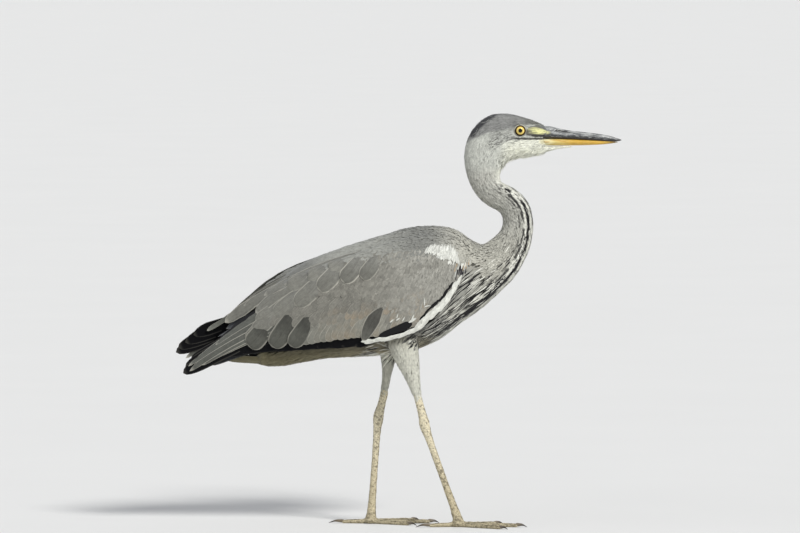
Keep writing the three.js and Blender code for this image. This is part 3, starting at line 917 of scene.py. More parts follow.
# ---- The folded wings, seen from the side ----
class Flank:
    """A folded wing: how far it stands out from the mid-plane at each point of the side view."""

    STEP = 3.0
    LOW = np.array([-342.0, 200.0])
    HIGH = np.array([118.0, 446.0])

    def __init__(self, name, side):
        self.name, self.side = name, side
        tree, owners = node_tree_of(["trunk", "wing_" + name, "primaries_" + name])
        columns, rows = ((self.HIGH - self.LOW) / self.STEP).astype(int) + 1
        out = np.full((columns, rows), np.nan)
        for i in range(columns):
            for j in range(rows):
                x, z = self.LOW + self.STEP * np.array([i, j])
                hit, _, face, _ = tree.ray_cast(Vector((x, side * 300, z)), Vector((0, -side, 0)))
                if hit and (not owners[face].startswith("trunk") or z > 350):
                    out[i, j] = max(abs(hit.y), 2)
        out = self.filled(out)
        widest = out.max(1, keepdims=True)
        heights = self.LOW[1] + self.STEP * np.arange(rows)
        below = heights[None, :] < self.LOW[1] + self.STEP * out.argmax(1)[:, None]
        out = np.where(below, out + 0.45 * (widest - out), out)
        for _ in range(4):
            padded = np.pad(out, 1, mode="edge")
            out = (padded[:-2, 1:-1] + padded[2:, 1:-1] + padded[1:-1, :-2] + padded[1:-1, 2:] + 4 * out) / 8
        self.out = out
        self.tilt = np.stack(np.gradient(out, self.STEP), -1)

    def filled(self, out):
        """Spreads the known distances outwards over the cells with none."""
        while np.isnan(out).any():
            padded = np.pad(out, 1, constant_values=np.nan)
            near = np.stack([padded[:-2, 1:-1], padded[2:, 1:-1], padded[1:-1, :-2], padded[1:-1, 2:]])
            known = ~np.isnan(near)
            total = np.where(known, near, 0).sum(0) / np.maximum(known.sum(0), 1)
            out = np.where(np.isnan(out) & known.any(0), total, out)
        return out

    def lifted(self, x, z, settled=False):
        """The left wing is held a little higher at the back. Settled feathers come down at their tips."""
        if self.side < 0:
            return x, z
        turn = -LEFT_WING_LIFT
        dx, dz = x - SHOULDER[0], z - SHOULDER[1]
        share = smoothstep(60, -160, x) * (smoothstep(-250, -165, x) if settled else 1)
        turned_x = SHOULDER[0] + dx * math.cos(turn) - dz * math.sin(turn)
        turned_z = SHOULDER[1] + dx * math.sin(turn) + dz * math.cos(turn)
        return x + (turned_x - x) * share, z + (turned_z - z) * share

    def place(self, x, z, height):
        """Points that stand so high over the wing, and its outward direction there."""
        spot = (np.stack([x, z], -1) - self.LOW) / self.STEP
        spot = np.clip(spot, 0, np.array(self.out.shape) - 1.001)
        cell = spot.astype(int)
        share = spot - cell
        value, tilt = 0, 0
        for i in (0, 1):
            for j in (0, 1):
                weight = np.abs(1 - i - share[..., 0]) * np.abs(1 - j - share[..., 1])
                value = value + weight * self.out[cell[..., 0] + i, cell[..., 1] + j]
                tilt = tilt + weight[..., None] * self.tilt[cell[..., 0] + i, cell[..., 1] + j]
        tilt = np.clip(tilt, -1.1, 1.1)
        normals = unit(np.stack([-tilt[..., 0], np.full(x.shape, float(self.side)), -tilt[..., 1]], -1))
        points = np.stack([x, self.side * value, z], -1) + normals * np.asarray(height)[..., None]
        return points, normals

    def blades(self, name, feathers, material, slot="plumage_grey", nodes=(), ring=QUILL_RING, shape=rounded,
               stations=QUILL_STATIONS, camber=0.12, thickness=0.4, patches=None, lift=True, base=0.78,
               turn=(0.55, 1), settled=False):
        """A piece of large feathers. feathers is a list of dicts, one for each."""
        levels = with_ends(stations)
        roots, tips = (np.array([f[key] for f in feathers], float) for key in ("root", "tip"))
        bow, half, low, high, roll, fringe = (
            np.array([f[key] for f in feathers], float)[:, None]
            for key in ("bow", "half", "low", "high", "roll", "fringe")
        )
        run = tips - roots
        beside = unit(np.stack([-run[:, 1], run[:, 0]], -1))
        line = roots[:, None] + run[:, None] * levels[None, :, None]
        line = line + beside[:, None] * (bow * 4 * levels * (1 - levels))[..., None]
        x, z = line[..., 0], line[..., 1]
        if lift:
            x, z = self.lifted(x, z, settled)
        points, normals = self.place(x, z, low + (high - low) * levels**0.45)
        tangents = unit(np.gradient(points, axis=1))
        sides = np.cross(tangents, normals)
        turned = normals + sides * np.tan(roll)[..., None] * -self.side
        halves = half * shape(stations)[None]
        colour = np.array([f["colour"] for f in feathers])
        tip_colour = np.array([f.get("tip_colour", f["colour"]) for f in feathers])
        # painted shade: each feather is painted darker towards its root, where the feathers over it would
        # shade it; base is how dark the root is
        shades = base + (1 - base) * smoothstep(0.1, 0.6, levels)
        reach = np.broadcast_to(smoothstep(*turn, levels), (len(feathers), len(levels)))
        coat = mix(colour[:, None], tip_colour[:, None], reach) * shades[None, :, None]
        coat = np.concatenate([coat, fringe[..., None] * np.ones((1, len(levels), 1))], 2)
        size = PATCH
        if patches is None:
            patches, size = patch_grid(len(feathers))
        name = name + "_" + self.name
        piece = vane_piece(name, points, unit(turned), halves, stations, ring, coat, patches, size, camber,
                           thickness)
        finish_piece(piece, material, slot, *nodes)


def feather(root, tip, half, colour, bow=0.0, low=-2.5, high=0.6, roll=0.0, fringe=0.5, **more):
    """One large feather of the wing in the side view."""
    return {"root": root, "tip": tip, "half": half, "colour": colour, "bow": bow, "low": low, "high": high,
            "roll": roll, "fringe": fringe, **more}


def on_wing(x, share):
    """A height on the wing at x: 0 is the mantle's edge, 1 the line of the lowest tips."""
    top, bottom = along(MANTLE_EDGE, x), along(LOWER_EDGE, x)
    return top + (bottom - top) * share


def wing_share(x, z):
    """How far down the wing a place is, from 0 to 1 in the same way."""
    top, bottom = along(MANTLE_EDGE, x), along(LOWER_EDGE, x)
    return (top - z) / (top - bottom)


def covert_row(share, front, back, spacing, length, half, high, rng):
    """A row of coverts from front to back, whose tips lie at a share of the wing's depth."""
    made = []
    x = front
    while x > back:
        jitter = spacing * 0.12 if share < 1 else spacing * 0.04
        tip = np.array([x + rng.normal(0, jitter), on_wing(x, share) + rng.normal(0, jitter * 1.3)])
        way = unit(wing_way(tip[0], share) + rng.normal(0, 0.03, 2))
        reach = length * rng.uniform(0.95, 1.05)
        tone = covert_tone(*tip) * rng.uniform(0.88, 1.12)
        warm = 0.45 * smoothstep(0.6, 0.74, share) * smoothstep(-130, -90, x) * rng.random()
        fringe = rng.uniform(0.15, 0.5) if share < 1 else 0.6
        made.append(feather(tip - way * reach, tip, half * rng.uniform(0.95, 1.06), tone, bow=reach * 0.04,
                            low=-3.0, high=high, roll=-0.05, fringe=fringe,
                            tip_colour=mix(tone, BUFF, warm)))
        x -= spacing
    return made


# ---- Pieces of the coat ----
def way_of_spine(points, droop):
    """Direction of the coat on the head, neck and body: along the spine towards the tail."""
    stations = station_of(points[:, 0], points[:, 2])
    _, way, belly = spine_at(stations)
    way = way + belly * droop
    return unit(np.stack([way[:, 0], np.zeros(len(way)), way[:, 1]], -1))


def varied(colour, rng, amount):
    """Colours made a little lighter or darker, each on its own."""
    return np.clip(colour * (1 + rng.normal(0, amount, (len(colour), 1))), 0, 1)


def dice(rng, count, share, low, high):
    """Ones, with a share of other values from low to high among them."""
    chosen = rng.random((count, 1)) < share
    return np.where(chosen, rng.uniform(low, high, (count, 1)), 1.0)


def head_coat(hide, material):
    rng = np.random.default_rng(11)
    roots = hide.scatter(hide.triangle_parts == "head", 1.2, rng)
    feathered = (bare_face(roots.points) < 0.35) & (eye_distance(roots.points) > LID_RIM_RADIUS + 0.3)
    roots = roots.only(feathered)
    x, z = roots.points[:, 0], roots.points[:, 2]
    near_bill = smoothstep(178, 208, x)
    chin = smoothstep(552, 546, z) * smoothstep(150, 165, x)
    length = 7.0 - 3.2 * near_bill + 2.5 * chin
    ways = way_of_spine(roots.points, 0.12)
    ways[:, 2] -= 0.6 * chin * (1 - near_bill)
    speckled = near_line(x, z, SPECKLED_LINE, 5, 12)[:, None]
    tint = 1 + (dice(rng, roots.count, 0.4, 0.35, 0.65) - 1) * speckled
    tint = tint * dice(rng, roots.count, 0.12, 0.75, 0.88)
    tufts(hide, "head_feathers", roots, unit(ways), length, 0.7, "head", rng, material, rise=0.25,
          spread=0.16, variety=0.09, tint=tint)


def neck_coat(hide, material):
    rng = np.random.default_rng(12)
    roots = hide.scatter(of_part(hide.triangle_parts, "neck"), 1.5, rng)
    ways = way_of_spine(roots.points, 0.05)
    tint = dice(rng, roots.count, 0.1, 0.76, 0.88) * dice(rng, roots.count, 0.25, 1.06, 1.16)
    _, _, behind = behind_front(roots.points, hide.front)
    tint[behind < 13] = 1
    tufts(hide, "neck_feathers", roots, ways, 7.5, 0.86, "neck_lower", rng, material, rise=0.3, spread=0.2,
          variety=0.08, stations=(0.12, 0.5, 0.85), tint=tint)


# How far behind the front of the breast, in millimetres, share of black plumes and share of white ones.
PLUME_ROWS = (
    (0, 0.5, 0.3), (2.0, 0.05, 0.9), (7.5, 0.05, 0.9), (9.6, 0.97, 0.02), (14.0, 0.97, 0.02),
    (16.5, 0.1, 0.75), (19, 0.2, 0.5), (22, 0.75, 0.12), (26, 0.35, 0.24), (34, 0.24, 0.2), (60, 0.16, 0.14),
)


def breast_plumes(hide, material):
    """Long narrow plumes that hang from the base of the neck, each black, white or grey."""
    rng = np.random.default_rng(13)
    stations, below, behind = behind_front(hide.outline[hide.triangles[:, 0]], hide.front)
    chosen = (stations > STREAK_TOP) & (stations < BREAST + 130) & (behind < 60) & (below > -4)
    chosen &= of_part(hide.triangle_parts, "neck", "trunk")
    chosen &= (behind < 22) | (stations > NECK_MIDDLE + 20)
    roots = hide.scatter(chosen, 2.7, rng)
    marks = [STREAK_TOP, NECK_MIDDLE, BREAST]
    stations, _, behind = behind_front(roots.points, hide.front)
    behind = behind / np.interp(stations, marks, [0.55, 0.72, 1.0])
    low = smoothstep(NECK_MIDDLE + 30, BREAST - 10, stations)
    kept = rng.random(roots.count) < 0.2 + 0.5 * np.maximum(low, 1.6 * (behind < 18))
    roots, behind, low, stations = roots.only(kept), behind[kept], low[kept], stations[kept]
    length = np.interp(stations, marks, [10, 15, 38])
    half = np.interp(stations, marks, [0.75, 0.95, 1.65])
    places, blacks, whites = zip(*PLUME_ROWS)
    chance = rng.random(roots.count)
    is_black = (chance < np.interp(behind, places, blacks))[:, None]
    is_white = (chance > 1 - np.interp(behind, places, whites))[:, None]
    grey = mix(NECK_BUFF, NECK_GREY * 0.75, low)
    colour = np.where(is_black, STREAK_BLACK * rng.uniform(0.6, 2.6, (roots.count, 1)), grey)
    colour = np.where(is_white, STREAK_WHITE * rng.uniform(0.75, 1.0, (roots.count, 1)), colour)
    hanging = smoothstep(8, 30, behind)[:, None] * low[:, None] * 0.7
    ways = unit(way_of_spine(roots.points, -0.06) * (1 - hanging) + np.array([-0.72, 0.0, -0.69]) * hanging)
    tufts(hide, "breast_plumes", roots, ways, length, half[:, None], colour, rng, material,
          rise=0.4 + 0.8 * low, spread=0.06, variety=0.05, stations=(0.08, 0.3, 0.6, 0.85),
          ring=COVERT_RING, shape=lance)


def loose_feathers(hide, material):
    """Wispy hairs behind the crown and the shaggy feathers under the throat."""
    rng = np.random.default_rng(18)
    centres = hide.outline[hide.triangles[:, 0]]
    x, z = centres[:, 0], centres[:, 2]
    on_head = hide.triangle_parts == "head"
    crest = on_head & (x < 145) & (z > along(CAP_EDGE, x) + 4) & (np.abs(centres[:, 1]) < 13)
    roots = hide.scatter(crest, 6.0, rng)
    tufts(hide, "crest_hairs", roots, way_of_spine(roots.points, -0.12), 12, 0.22, CHEEK * 0.75, rng,
          material, rise=1.3, spread=0.35, stations=(0.12, 0.35, 0.6, 0.85))
    throat = on_head & (x > 150) & (x < 216) & (z < 549)
    roots = hide.scatter(throat, 2.0, rng)
    tufts(hide, "throat_feathers", roots, way_of_spine(roots.points, 0.45), 11, 0.62, "head", rng, material,
          rise=2.4, spread=0.3)


def belly_coat(hide, material):
    rng = np.random.default_rng(14)
    centres = hide.outline[hide.triangles[:, 0]]
    chosen = (hide.triangle_parts == "trunk") & (centres[:, 2] < 330) & (centres[:, 0] > -200)
    roots = hide.scatter(chosen, 2.8, rng)
    forward = smoothstep(0, 40, roots.points[:, 0])[:, None]
    speckles = dice(rng, roots.count, 0.4, 0.15, 0.5) * dice(rng, roots.count, 0.3, 1.2, 1.5)
    tufts(hide, "belly_feathers", roots, way_of_spine(roots.points, 0.15), 17 + 14 * forward[:, 0], 1.9,
          "trunk", rng, material, rise=0.7, spread=0.16, variety=0.07, tint=1 + (speckles - 1) * forward)


# How far to the side each ridge feather lies, in millimetres, from the lowest one to the top one.
RIDGE_PLACES = (-10, 10, -6.5, 6.5, -3, 3, 0)


def back_coat(hide, material):
    """The mantle between the wings, in small scale-like feathers that grow larger towards the tail."""
    rng = np.random.default_rng(15)
    x, y, z = hide.outline[hide.triangles[:, 0]].T
    body = of_part(hide.triangle_parts, "trunk", "wing")
    above = z > along(MANTLE_EDGE, x) - 8 * smoothstep(-90, -30, x)
    behind = (x > -150) | ((np.abs(y) < 9) & (x > -178))
    roots = hide.scatter(body & above & behind & (z > 310), 2.5, rng)
    x, y, _ = roots.points.T
    ways = way_of_spine(roots.points, 0.1)
    ways[:, 1] += 0.25 * np.sign(y) * smoothstep(0, 12, np.abs(y))
    rear = smoothstep(40, -120, x)
    tufts(hide, "mantle_feathers", roots, unit(ways), 11 + 8 * rear, (1.7 + 1.5 * rear)[:, None], "trunk",
          rng, material, rise=0.6 * smoothstep(-150, -70, x) - 0.2, spread=0.12, slot="plumage_grey",
          variety=0.045, stations=(0.1, 0.4, 0.7, 0.9), ring=COVERT_RING, shape=rounded, fringe=0.2)


def ridge_feathers(material):
    """Long feathers that lie side by side down the middle of the back and end between the wings."""
    stations = np.array([0.05, 0.2, 0.4, 0.6, 0.75, 0.85, 0.93])
    levels = with_ends(stations)
    rows = []
    for number, y in enumerate(RIDGE_PLACES):
        low = 0.085 * y * y
        corners = np.array([(-140, y, 375 - low), (-185, y, 352.5 - low), (-214, 0.8 * y, 333 - low),
                            (-238 + 1.2 * abs(y), 0.6 * y, 314 - low)])
        share = np.linspace(0, 1, len(corners))
        line = np.stack([np.interp(levels, share, corners[:, i]) for i in range(3)], 1)
        line[1:-1] = (line[:-2] + 2 * line[1:-1] + line[2:]) / 4
        tone = SCAPULAR * (1.22 - 0.06 * (number % 3))
        rows.append((line, (0.45, 0.12 * y, 0.85), 6.0 * full(stations), (*tone, 0.3)))
    quills("ridge_feathers", rows, stations, material, QUILL_RING, 0.1, 0.35)


# x and z at the roots and at the tips, up or down, step to the side, half width, colour
TAIL_COVERTS = (
    (-156, 234, -210, 237, -1, 5.3, 4.6, VENT_IN_SHADE),
    (-176, 235.2, -232, 238.2, -1, 5.3, 4.6, VENT_IN_SHADE),
    (-196, 236.5, -252, 239.5, -1, 5.3, 4.6, VENT_IN_SHADE),
    (-200, 312, -262, 274, 1, 4.0, 5.0, TAIL_GREY),
    (-182, 328, -252, 288, 1, 4.0, 5.0, TAIL_GREY),
)


def tail_coverts(material):
    """Soft feathers under and over the root of the tail."""
    rng = np.random.default_rng(60)
    stations = np.array([0.06, 0.25, 0.5, 0.7, 0.85, 0.94])
    levels = with_ends(stations)
    rows = []
    for root_x, root_z, tip_x, tip_z, side, step, half, tone in TAIL_COVERTS:
        widest = 16 if side < 0 else 9
        for y in np.arange(-widest, widest + 1, step):
            y = y + rng.normal(0, 0.6)
            root = np.array([root_x, y, root_z - side * 0.03 * y * y])
            tip_back = tip_x + rng.normal(0, 2) + 0.3 * abs(y)
            tip = np.array([tip_back, 0.8 * y, tip_z - side * 0.02 * y * y])
            line = root + (tip - root) * levels[:, None]
            line[:, 2] += side * 3.0 * levels * (1 - levels)
            up = (0.1 if side < 0 else 0.5, 0.09 * y, side)
            rows.append((line, up, half * full(stations), (*tone * rng.uniform(0.75, 1.0), 0.2)))
    quills("tail_coverts", rows, stations, material, COVERT_RING, 0.12, 0.3)


def thigh_coat(hide, material, side):
    rng = np.random.default_rng(16 if side == "right" else 17)
    node = "thigh_" + side
    roots = hide.scatter(hide.triangle_parts == node, 1.8, rng)
    ways = np.tile([-0.06, 0.0, -1.0], (roots.count, 1))
    ways[:, 0] += 0.004 * (250 - roots.points[:, 2])
    tint = dice(rng, roots.count, 0.1, 0.85, 0.95)
    tufts(hide, "thigh_feathers_" + side, roots, unit(ways), 10, 1.1, node, rng, material, rise=0.4,
          spread=0.16, variety=0.05, tint=tint)


def plates_down(node, ankle):
    """Root, way, half width and length of each plate down the front of a leg or over a toe."""
    points = vertices_of(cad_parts[node].data)
    toe = node.startswith("toe")
    order = np.linalg.norm(points - ankle, axis=1) if toe else -points[:, 2]
    near = points[order <= np.quantile(order, 0.06)].mean(0)
    far = points[order >= np.quantile(order, 0.94)].mean(0)
    step = 3.4 if toe else 4.2
    way = (far - near) / np.linalg.norm(far - near)
    front = np.array([0, 0, 1.0]) if toe else np.array([1.0, 0, 0])
    across = np.cross(way, front)
    for number in range(1, int(np.linalg.norm(far - near) / step)):
        spot = near + way * step * number
        close = points[np.abs((points - spot) @ way) < 5]
        wide = np.ptp(close @ across) / 2 if len(close) > 3 else 3.0
        yield spot + front * 14, way, min(wide, 6) * (0.78 if toe else 0.62), step * 1.3


def leg_scales(hide, material, side):
    """Small scales round the bare leg and the toes, and plates down their fronts."""
    rng = np.random.default_rng(18 if side == "right" else 19)
    mine = np.char.endswith(hide.triangle_parts, side)
    roots = hide.scatter(mine & of_part(hide.triangle_parts, *BARE), 1.7, rng)
    roots = roots.only(roots.points[:, 2] > 1.2)
    down = np.tile([0.0, 0.0, -1.0], (roots.count, 1))
    low = smoothstep(16, 9, roots.points[:, 2])[:, None]
    ankle = np.array(hide.ankles[side])
    outwards = roots.points - ankle
    outwards[:, 2] = 0
    ways = unit(down * (1 - low) + unit(outwards) * low)
    how = {"slot": "leg_skin", "variety": 0.08, "shape": blunt}
    tufts(hide, "leg_scales_" + side, roots, ways, 2.5, 0.95, "tarsus_" + side, rng, material, rise=0.12,
          spread=0.1, shade_root=0.76, thickness=0.12, **how)
    nodes = [n for n in FLESH if n.startswith(BARE) and n.endswith(side)]
    rows = [row for node in nodes for row in plates_down(node, ankle)]
    starts, ways, halves, lengths = (np.array(column) for column in zip(*rows))
    tufts(hide, "leg_plates_" + side, hide.roots_near(starts), ways, lengths, halves[:, None],
          "tarsus_" + side, rng, material, rise=0.35, spread=0.02, stations=(0.12, 0.4, 0.7, 0.92),
          ring=COVERT_RING, shade_root=0.72, camber=0.1, thickness=0.2, **how)


# ---- Wing feathers ----
CARPAL_PATCH = [
    (35, 401), (47, 407), (73, 405), (82, 396), (86, 386), (80, 388), (74, 392), (61, 391), (55, 394),
    (49, 399),
]
DARK_BAND = [(12, 374), (35, 381), (59, 383)]
BUFF_LINE = [(84, 412), (90, 407), (96, 400)]
WRIST_SPOT = [(97, 395), (91, 380)]
EDGE_WHITE = [
    (89, 364), (79, 348), (71, 333), (57, 318), (42, 305), (32, 294.5), (17, 285.5), (3, 280), (-12, 276),
    (-29, 273), (-40, 272),
]
EDGE_INNER = [(82, 356), (72, 339), (57, 323), (40, 308), (28, 297)]
EDGE_BLACK = [(77, 356), (66, 338), (55, 328), (43, 318), (35, 306), (20, 295)]
EDGE_LINES = (  # line, colour, half width, height, length and share kept of its feathers
    (EDGE_BLACK, BLACK, 2.0, 1.0, 17, 0.6),
    (EDGE_WHITE, WHITE, 3.2, 1.6, 20, 1.0),
    (EDGE_INNER, WHITE * 0.9, 2.4, 1.3, 15, 0.9),
)
BLACK_PATCH_COUNT = 7  # black feathers inside the white edge
WHITE_FLECKS = (  # root, tip, half width, bow
    ((35, 336), (36, 323), 0.8, 0.6), ((46, 323), (35, 321), 1.0, -1.0), ((25, 306), (13, 299), 2.0, 0),
    ((21, 311), (17, 301), 1.2, 0), ((1, 306), (-5, 302), 1.1, 0), ((-8, 304), (-14, 299), 1.1, 0),
    ((8, 308), (4, 301), 0.8, 0), ((-2, 312), (-4, 305), 0.7, 0),
)
BLACK_EDGE = [
    (40, 288), (0, 265), (-30, 261), (-60, 260), (-100, 260), (-146, 258.5), (-179, 256), (-217, 253.5),
    (-238, 250.5), (-257, 246), (-305, 223),
]


def covert_tone(x, z):
    """Grey of the wing from the pale front to the darker rear."""
    front = smoothstep(-60, 40, np.asarray(x, float))
    low = smoothstep(0.7, 0.95, wing_share(x, z))
    return mix(mix(MEDIAN, LESSER, front), mix(GREATER, LESSER, front), low)


def lesser_colours(x, z, rng):
    """Colours of the small coverts at the front of the wing, with flecks and spots near its bend."""
    colour = mix(covert_tone(x, z), LESSER_LIGHT, 0.45 * smoothstep(372, 392, z) * smoothstep(-10, 30, x))
    colour = mix(colour, MEDIAN * 0.85, 0.5 * near_line(x, z, DARK_BAND, 2, 7))
    colour = varied(colour, rng, 0.12)
    wrist = (x > 80) & (z > 358)
    fan = (x > 71) & (x < 87) & (z > 382) & (z < 402)
    low = (x > -80) & (x < 40) & (z < 305)
    chance = rng.random(len(x))
    for chosen, spot in (
        (wrist & (chance < 0.36), STREAK_BLACK * 4),
        (wrist & (chance > 0.8), WHITE * 0.62),
        (wrist & (chance > 0.5) & (chance < 0.58), BUFF * 0.9),
        (from_line(x, z, BUFF_LINE) < 2.2, BUFF * 1.1),
        (from_line(x, z, WRIST_SPOT) < 3.0, WHITE * 0.95),
        (fan & (chance < 0.5), WHITE * 0.85),
        (low & (chance < 0.14), BUFF),
    ):
        colour[chosen] = spot
    return colour


def wing_small(flank, hide, material):
    """The lesser coverts."""
    rng = np.random.default_rng(20 + flank.side)
    step = 2.5
    columns, rows = np.meshgrid(np.arange(-70, 106, step), np.arange(272, 416, step), indexing="ij")
    x = columns.ravel() + rng.uniform(-0.5, 0.5, columns.size) * step
    z = rows.ravel() + rng.uniform(-0.5, 0.5, rows.size) * step
    share = wing_share(x, z)
    kept = (share > -0.08) & (share < np.interp(x, [-70, -30, 30, 60, 90], [0.3, 0.46, 0.78, 0.95, 1.0]))
    roots = np.stack([x, z], 1)[kept]
    x, z = roots.T
    way = wing_way(x) + rng.normal(0, 0.05, (len(x), 2))
    large = smoothstep(60, -30, x)
    length = rng.uniform(0.85, 1.2, len(x)) * (16 + 5 * large)
    half = rng.uniform(0.8, 1.15, len(x)) * (1.25 + 1.7 * large)
    reach = way * length[:, None]
    colour = lesser_colours(*(roots + reach * 0.8).T, rng)
    rise = rng.uniform(0.5, 1.0, len(x))
    made = [
        feather(roots[i], roots[i] + reach[i], half[i], colour[i], low=-2.0, high=rise[i],
                fringe=0.3 * large[i])
        for i in range(len(x))
    ]
    flank.blades("lesser_coverts", made, material, ring=COVERT_RING, stations=np.array([0.12, 0.4, 0.7, 0.9]),
                 thickness=0.2, patches=patches_under(flank, hide, x, z))


def patches_under(flank, hide, x, z):
    """Places in the baking map of feathers whose roots are at points in the side view."""
    places, _ = flank.place(*flank.lifted(x, z), np.zeros(len(x)))
    return hide.roots_near(places).patches


COVERT_ROWS = (  # share of the wing's depth, front, back, spacing, length, half width, height of the tips
    (1.0, 40, -142, 8.5, 56, 8.0, 0.5),
    (0.88, 34, -150, 9.5, 50, 6.2, 0.45),
    (0.77, 36, -172, 9.5, 44, 6.0, 0.55),
    (0.66, 30, -184, 9.5, 40, 5.8, 0.65),
    (0.55, 18, -190, 9, 34, 5.6, 0.75),
    (0.44, 0, -196, 8.5, 30, 5.4, 0.85),
    (0.34, -24, -196, 8.5, 27, 5.2, 0.95),
    (0.24, -40, -190, 8, 25, 5.0, 1.05),
)


def wing_coverts(flank, material):
    """Rows of median and greater coverts."""
    rng = np.random.default_rng(30 + flank.side)
    made = [made for row in COVERT_ROWS for made in covert_row(*row, rng)]
    flank.blades("wing_coverts", made, material, camber=0.08, thickness=0.2)


LOBES = (  # tip x, tip z, half width, length, slope, height
    (-221, 268, 13, 54, 47, 0.2),
    (-218, 262.5, 15, 44, 52, 0.6),
    (-184, 262.5, 14.5, 58, 58, 1.1),
    (-157, 264, 13, 52, 56, 1.6),
)
SCAPULARS = (  # tip x, tip z, half width, length, slope, shade, height, fringe
    (-213, 283, 12, 54, 44, 1.12, 0.5, 0.5),
    (-208, 297, 12, 56, 40, 1.2, 0.7, 0.4),
    (-182, 308, 13, 60, 43, 1.16, 0.9, 0.5),
    (-151, 323, 14, 62, 46, 1.12, 1.2, 0.6),
    (-117, 345, 14, 58, 50, 1.04, 1.5, 0.85),
    (-83, 357.5, 13.5, 52, 53, 0.92, 1.8, 0.95),
    (-55, 362, 12, 42, 55, 0.97, 1.9, 0.7),
    (-162, 348, 13, 60, 36, 1.25, 0.8, 0.25),
    (-132, 360, 13, 56, 40, 1.3, 1.1, 0.25),
    (-102, 373, 13, 52, 43, 1.38, 1.3, 0.2),
)
TERTIALS = (  # root x, z; tip x, z; half width; bow
    (-150, 300, -258, 249, 12, -5),
    (-148, 309, -286, 234, 13, -6),
    (-150, 318, -304, 225, 13.5, -7),
    (-146, 330, -306, 232, 12, -6),
    (-130, 344, -268, 262, 12, -7),
)
LONG_SCAPULARS = (  # the same, along the edge of the back
    (-112, 372, -208, 310, 11, -6),
    (-118, 378, -253, 295.5, 9.5, -4),
    (-90, 388, -226, 316, 10, -4),
    (-66, 397, -196, 335, 10, -4),
    (-45, 401, -168, 351, 9.5, -4),
    (-20, 404, -138, 366, 9, -4),
)
NOTCH = (  # black feathers that show between the groups: root x, z; tip x, z; half width
    (-160, 338, -246, 283, 8.5),
    (-175, 322, -262, 268, 8.5),
)
FAR_TERTIALS = (  # of the left wing, seen over the right one: as TERTIALS
    (-200, 334, -281, 284, 4.6, -3),
    (-110, 384, -254, 298, 9, -6),
    (-90, 394, -226, 320, 9, -6),
    (-70, 402, -196, 340, 9, -5),
)
TURNED_FEATHER = ((-20, 326), (-52, 273))  # root and tip of a feather that lies across the coverts


def way_down(slope):
    """A direction back and down in the side view, so many degrees below the level."""
    return -np.array([math.cos(math.radians(slope)), math.sin(math.radians(slope))])


def long_feathers(rows, rng, tone, **more):
    return [
        feather((x0, z0), (x1, z1), half, tone * rng.uniform(0.93, 1.08), bow=bow, roll=0.06, **more)
        for x0, z0, x1, z1, half, bow in rows
    ]


def lobe_and_scapulars(rng):
    """The rounded lobes of the hindmost greater coverts, and the scapulars from the lowest up."""
    made = []
    for x, z, half, long, slope, high in LOBES:
        tip = np.array([x, z])
        tone = LOBE * rng.uniform(0.9, 1.05)
        made.append(feather(tip - way_down(slope) * long, tip, half, tone * 0.8, bow=2, low=-2.2, high=high,
                            roll=-0.08, fringe=0.55, tip_colour=tone * 1.2))
    for x, z, half, long, slope, shade, high, fringe in SCAPULARS:
        tip = np.array([x, z])
        way = way_down(slope)
        long = min(long, (on_wing(x - way[0] * long, 0) + 1 - z) / -way[1])
        pale = mix(covert_tone(x, z), BACK_GREY, 0.5) * (0.79 + 0.12 * smoothstep(-150, -60, x))
        made.append(feather(tip - way * long, tip, half, pale, bow=3, low=-2.0, high=high, roll=-0.06,
                            fringe=fringe, tip_colour=SCAPULAR * shade * 1.08))
    return made


def wing_large(flank, material):
    """Long tertials, scapulars, lobes, and the black quills between them."""
    rng = np.random.default_rng(40 + flank.side)
    made = long_feathers(TERTIALS, rng, TERTIAL, low=-2.6, high=0.2, fringe=0.8)
    flank.blades("tertials", made, material, shape=lance, camber=0.08)
    made = long_feathers(LONG_SCAPULARS, rng, SCAPULAR * 1.15, low=-2.2, high=0.6, fringe=0.6)
    flank.blades("long_scapulars", made, material, camber=0.08, settled=True)
    made = [
        feather((x0, z0), (x1, z1), half, BLACK * 1.4, low=-2.6, high=-0.3, fringe=0.0)
        for x0, z0, x1, z1, half in NOTCH
    ]
    flank.blades("hidden_quills", made, material, slot="plumage_black", camber=0.05)
    if flank.side > 0:
        # painted light: the far wing's tertials are painted much lighter than the near ones, as lit on the
        # top of the back
        made = long_feathers(FAR_TERTIALS, rng, TERTIAL * 2.1, low=-3.0, high=-7.0, fringe=0.8)
        flank.blades("long_tertials", made, material, lift=False, camber=0.08)
    flank.blades("scapulars", lobe_and_scapulars(rng), material, shape=full, camber=0.15, base=0.9,
                 turn=(0.25, 0.7))
    made = [feather(*TURNED_FEATHER, 10.5, SCAPULAR * 0.48, bow=-3, low=-0.4, high=1.6, fringe=0.8,
                    tip_colour=SCAPULAR * 0.9)]
    flank.blades("turned_feather", made, material, camber=0.14, base=1.0, shape=leaf)


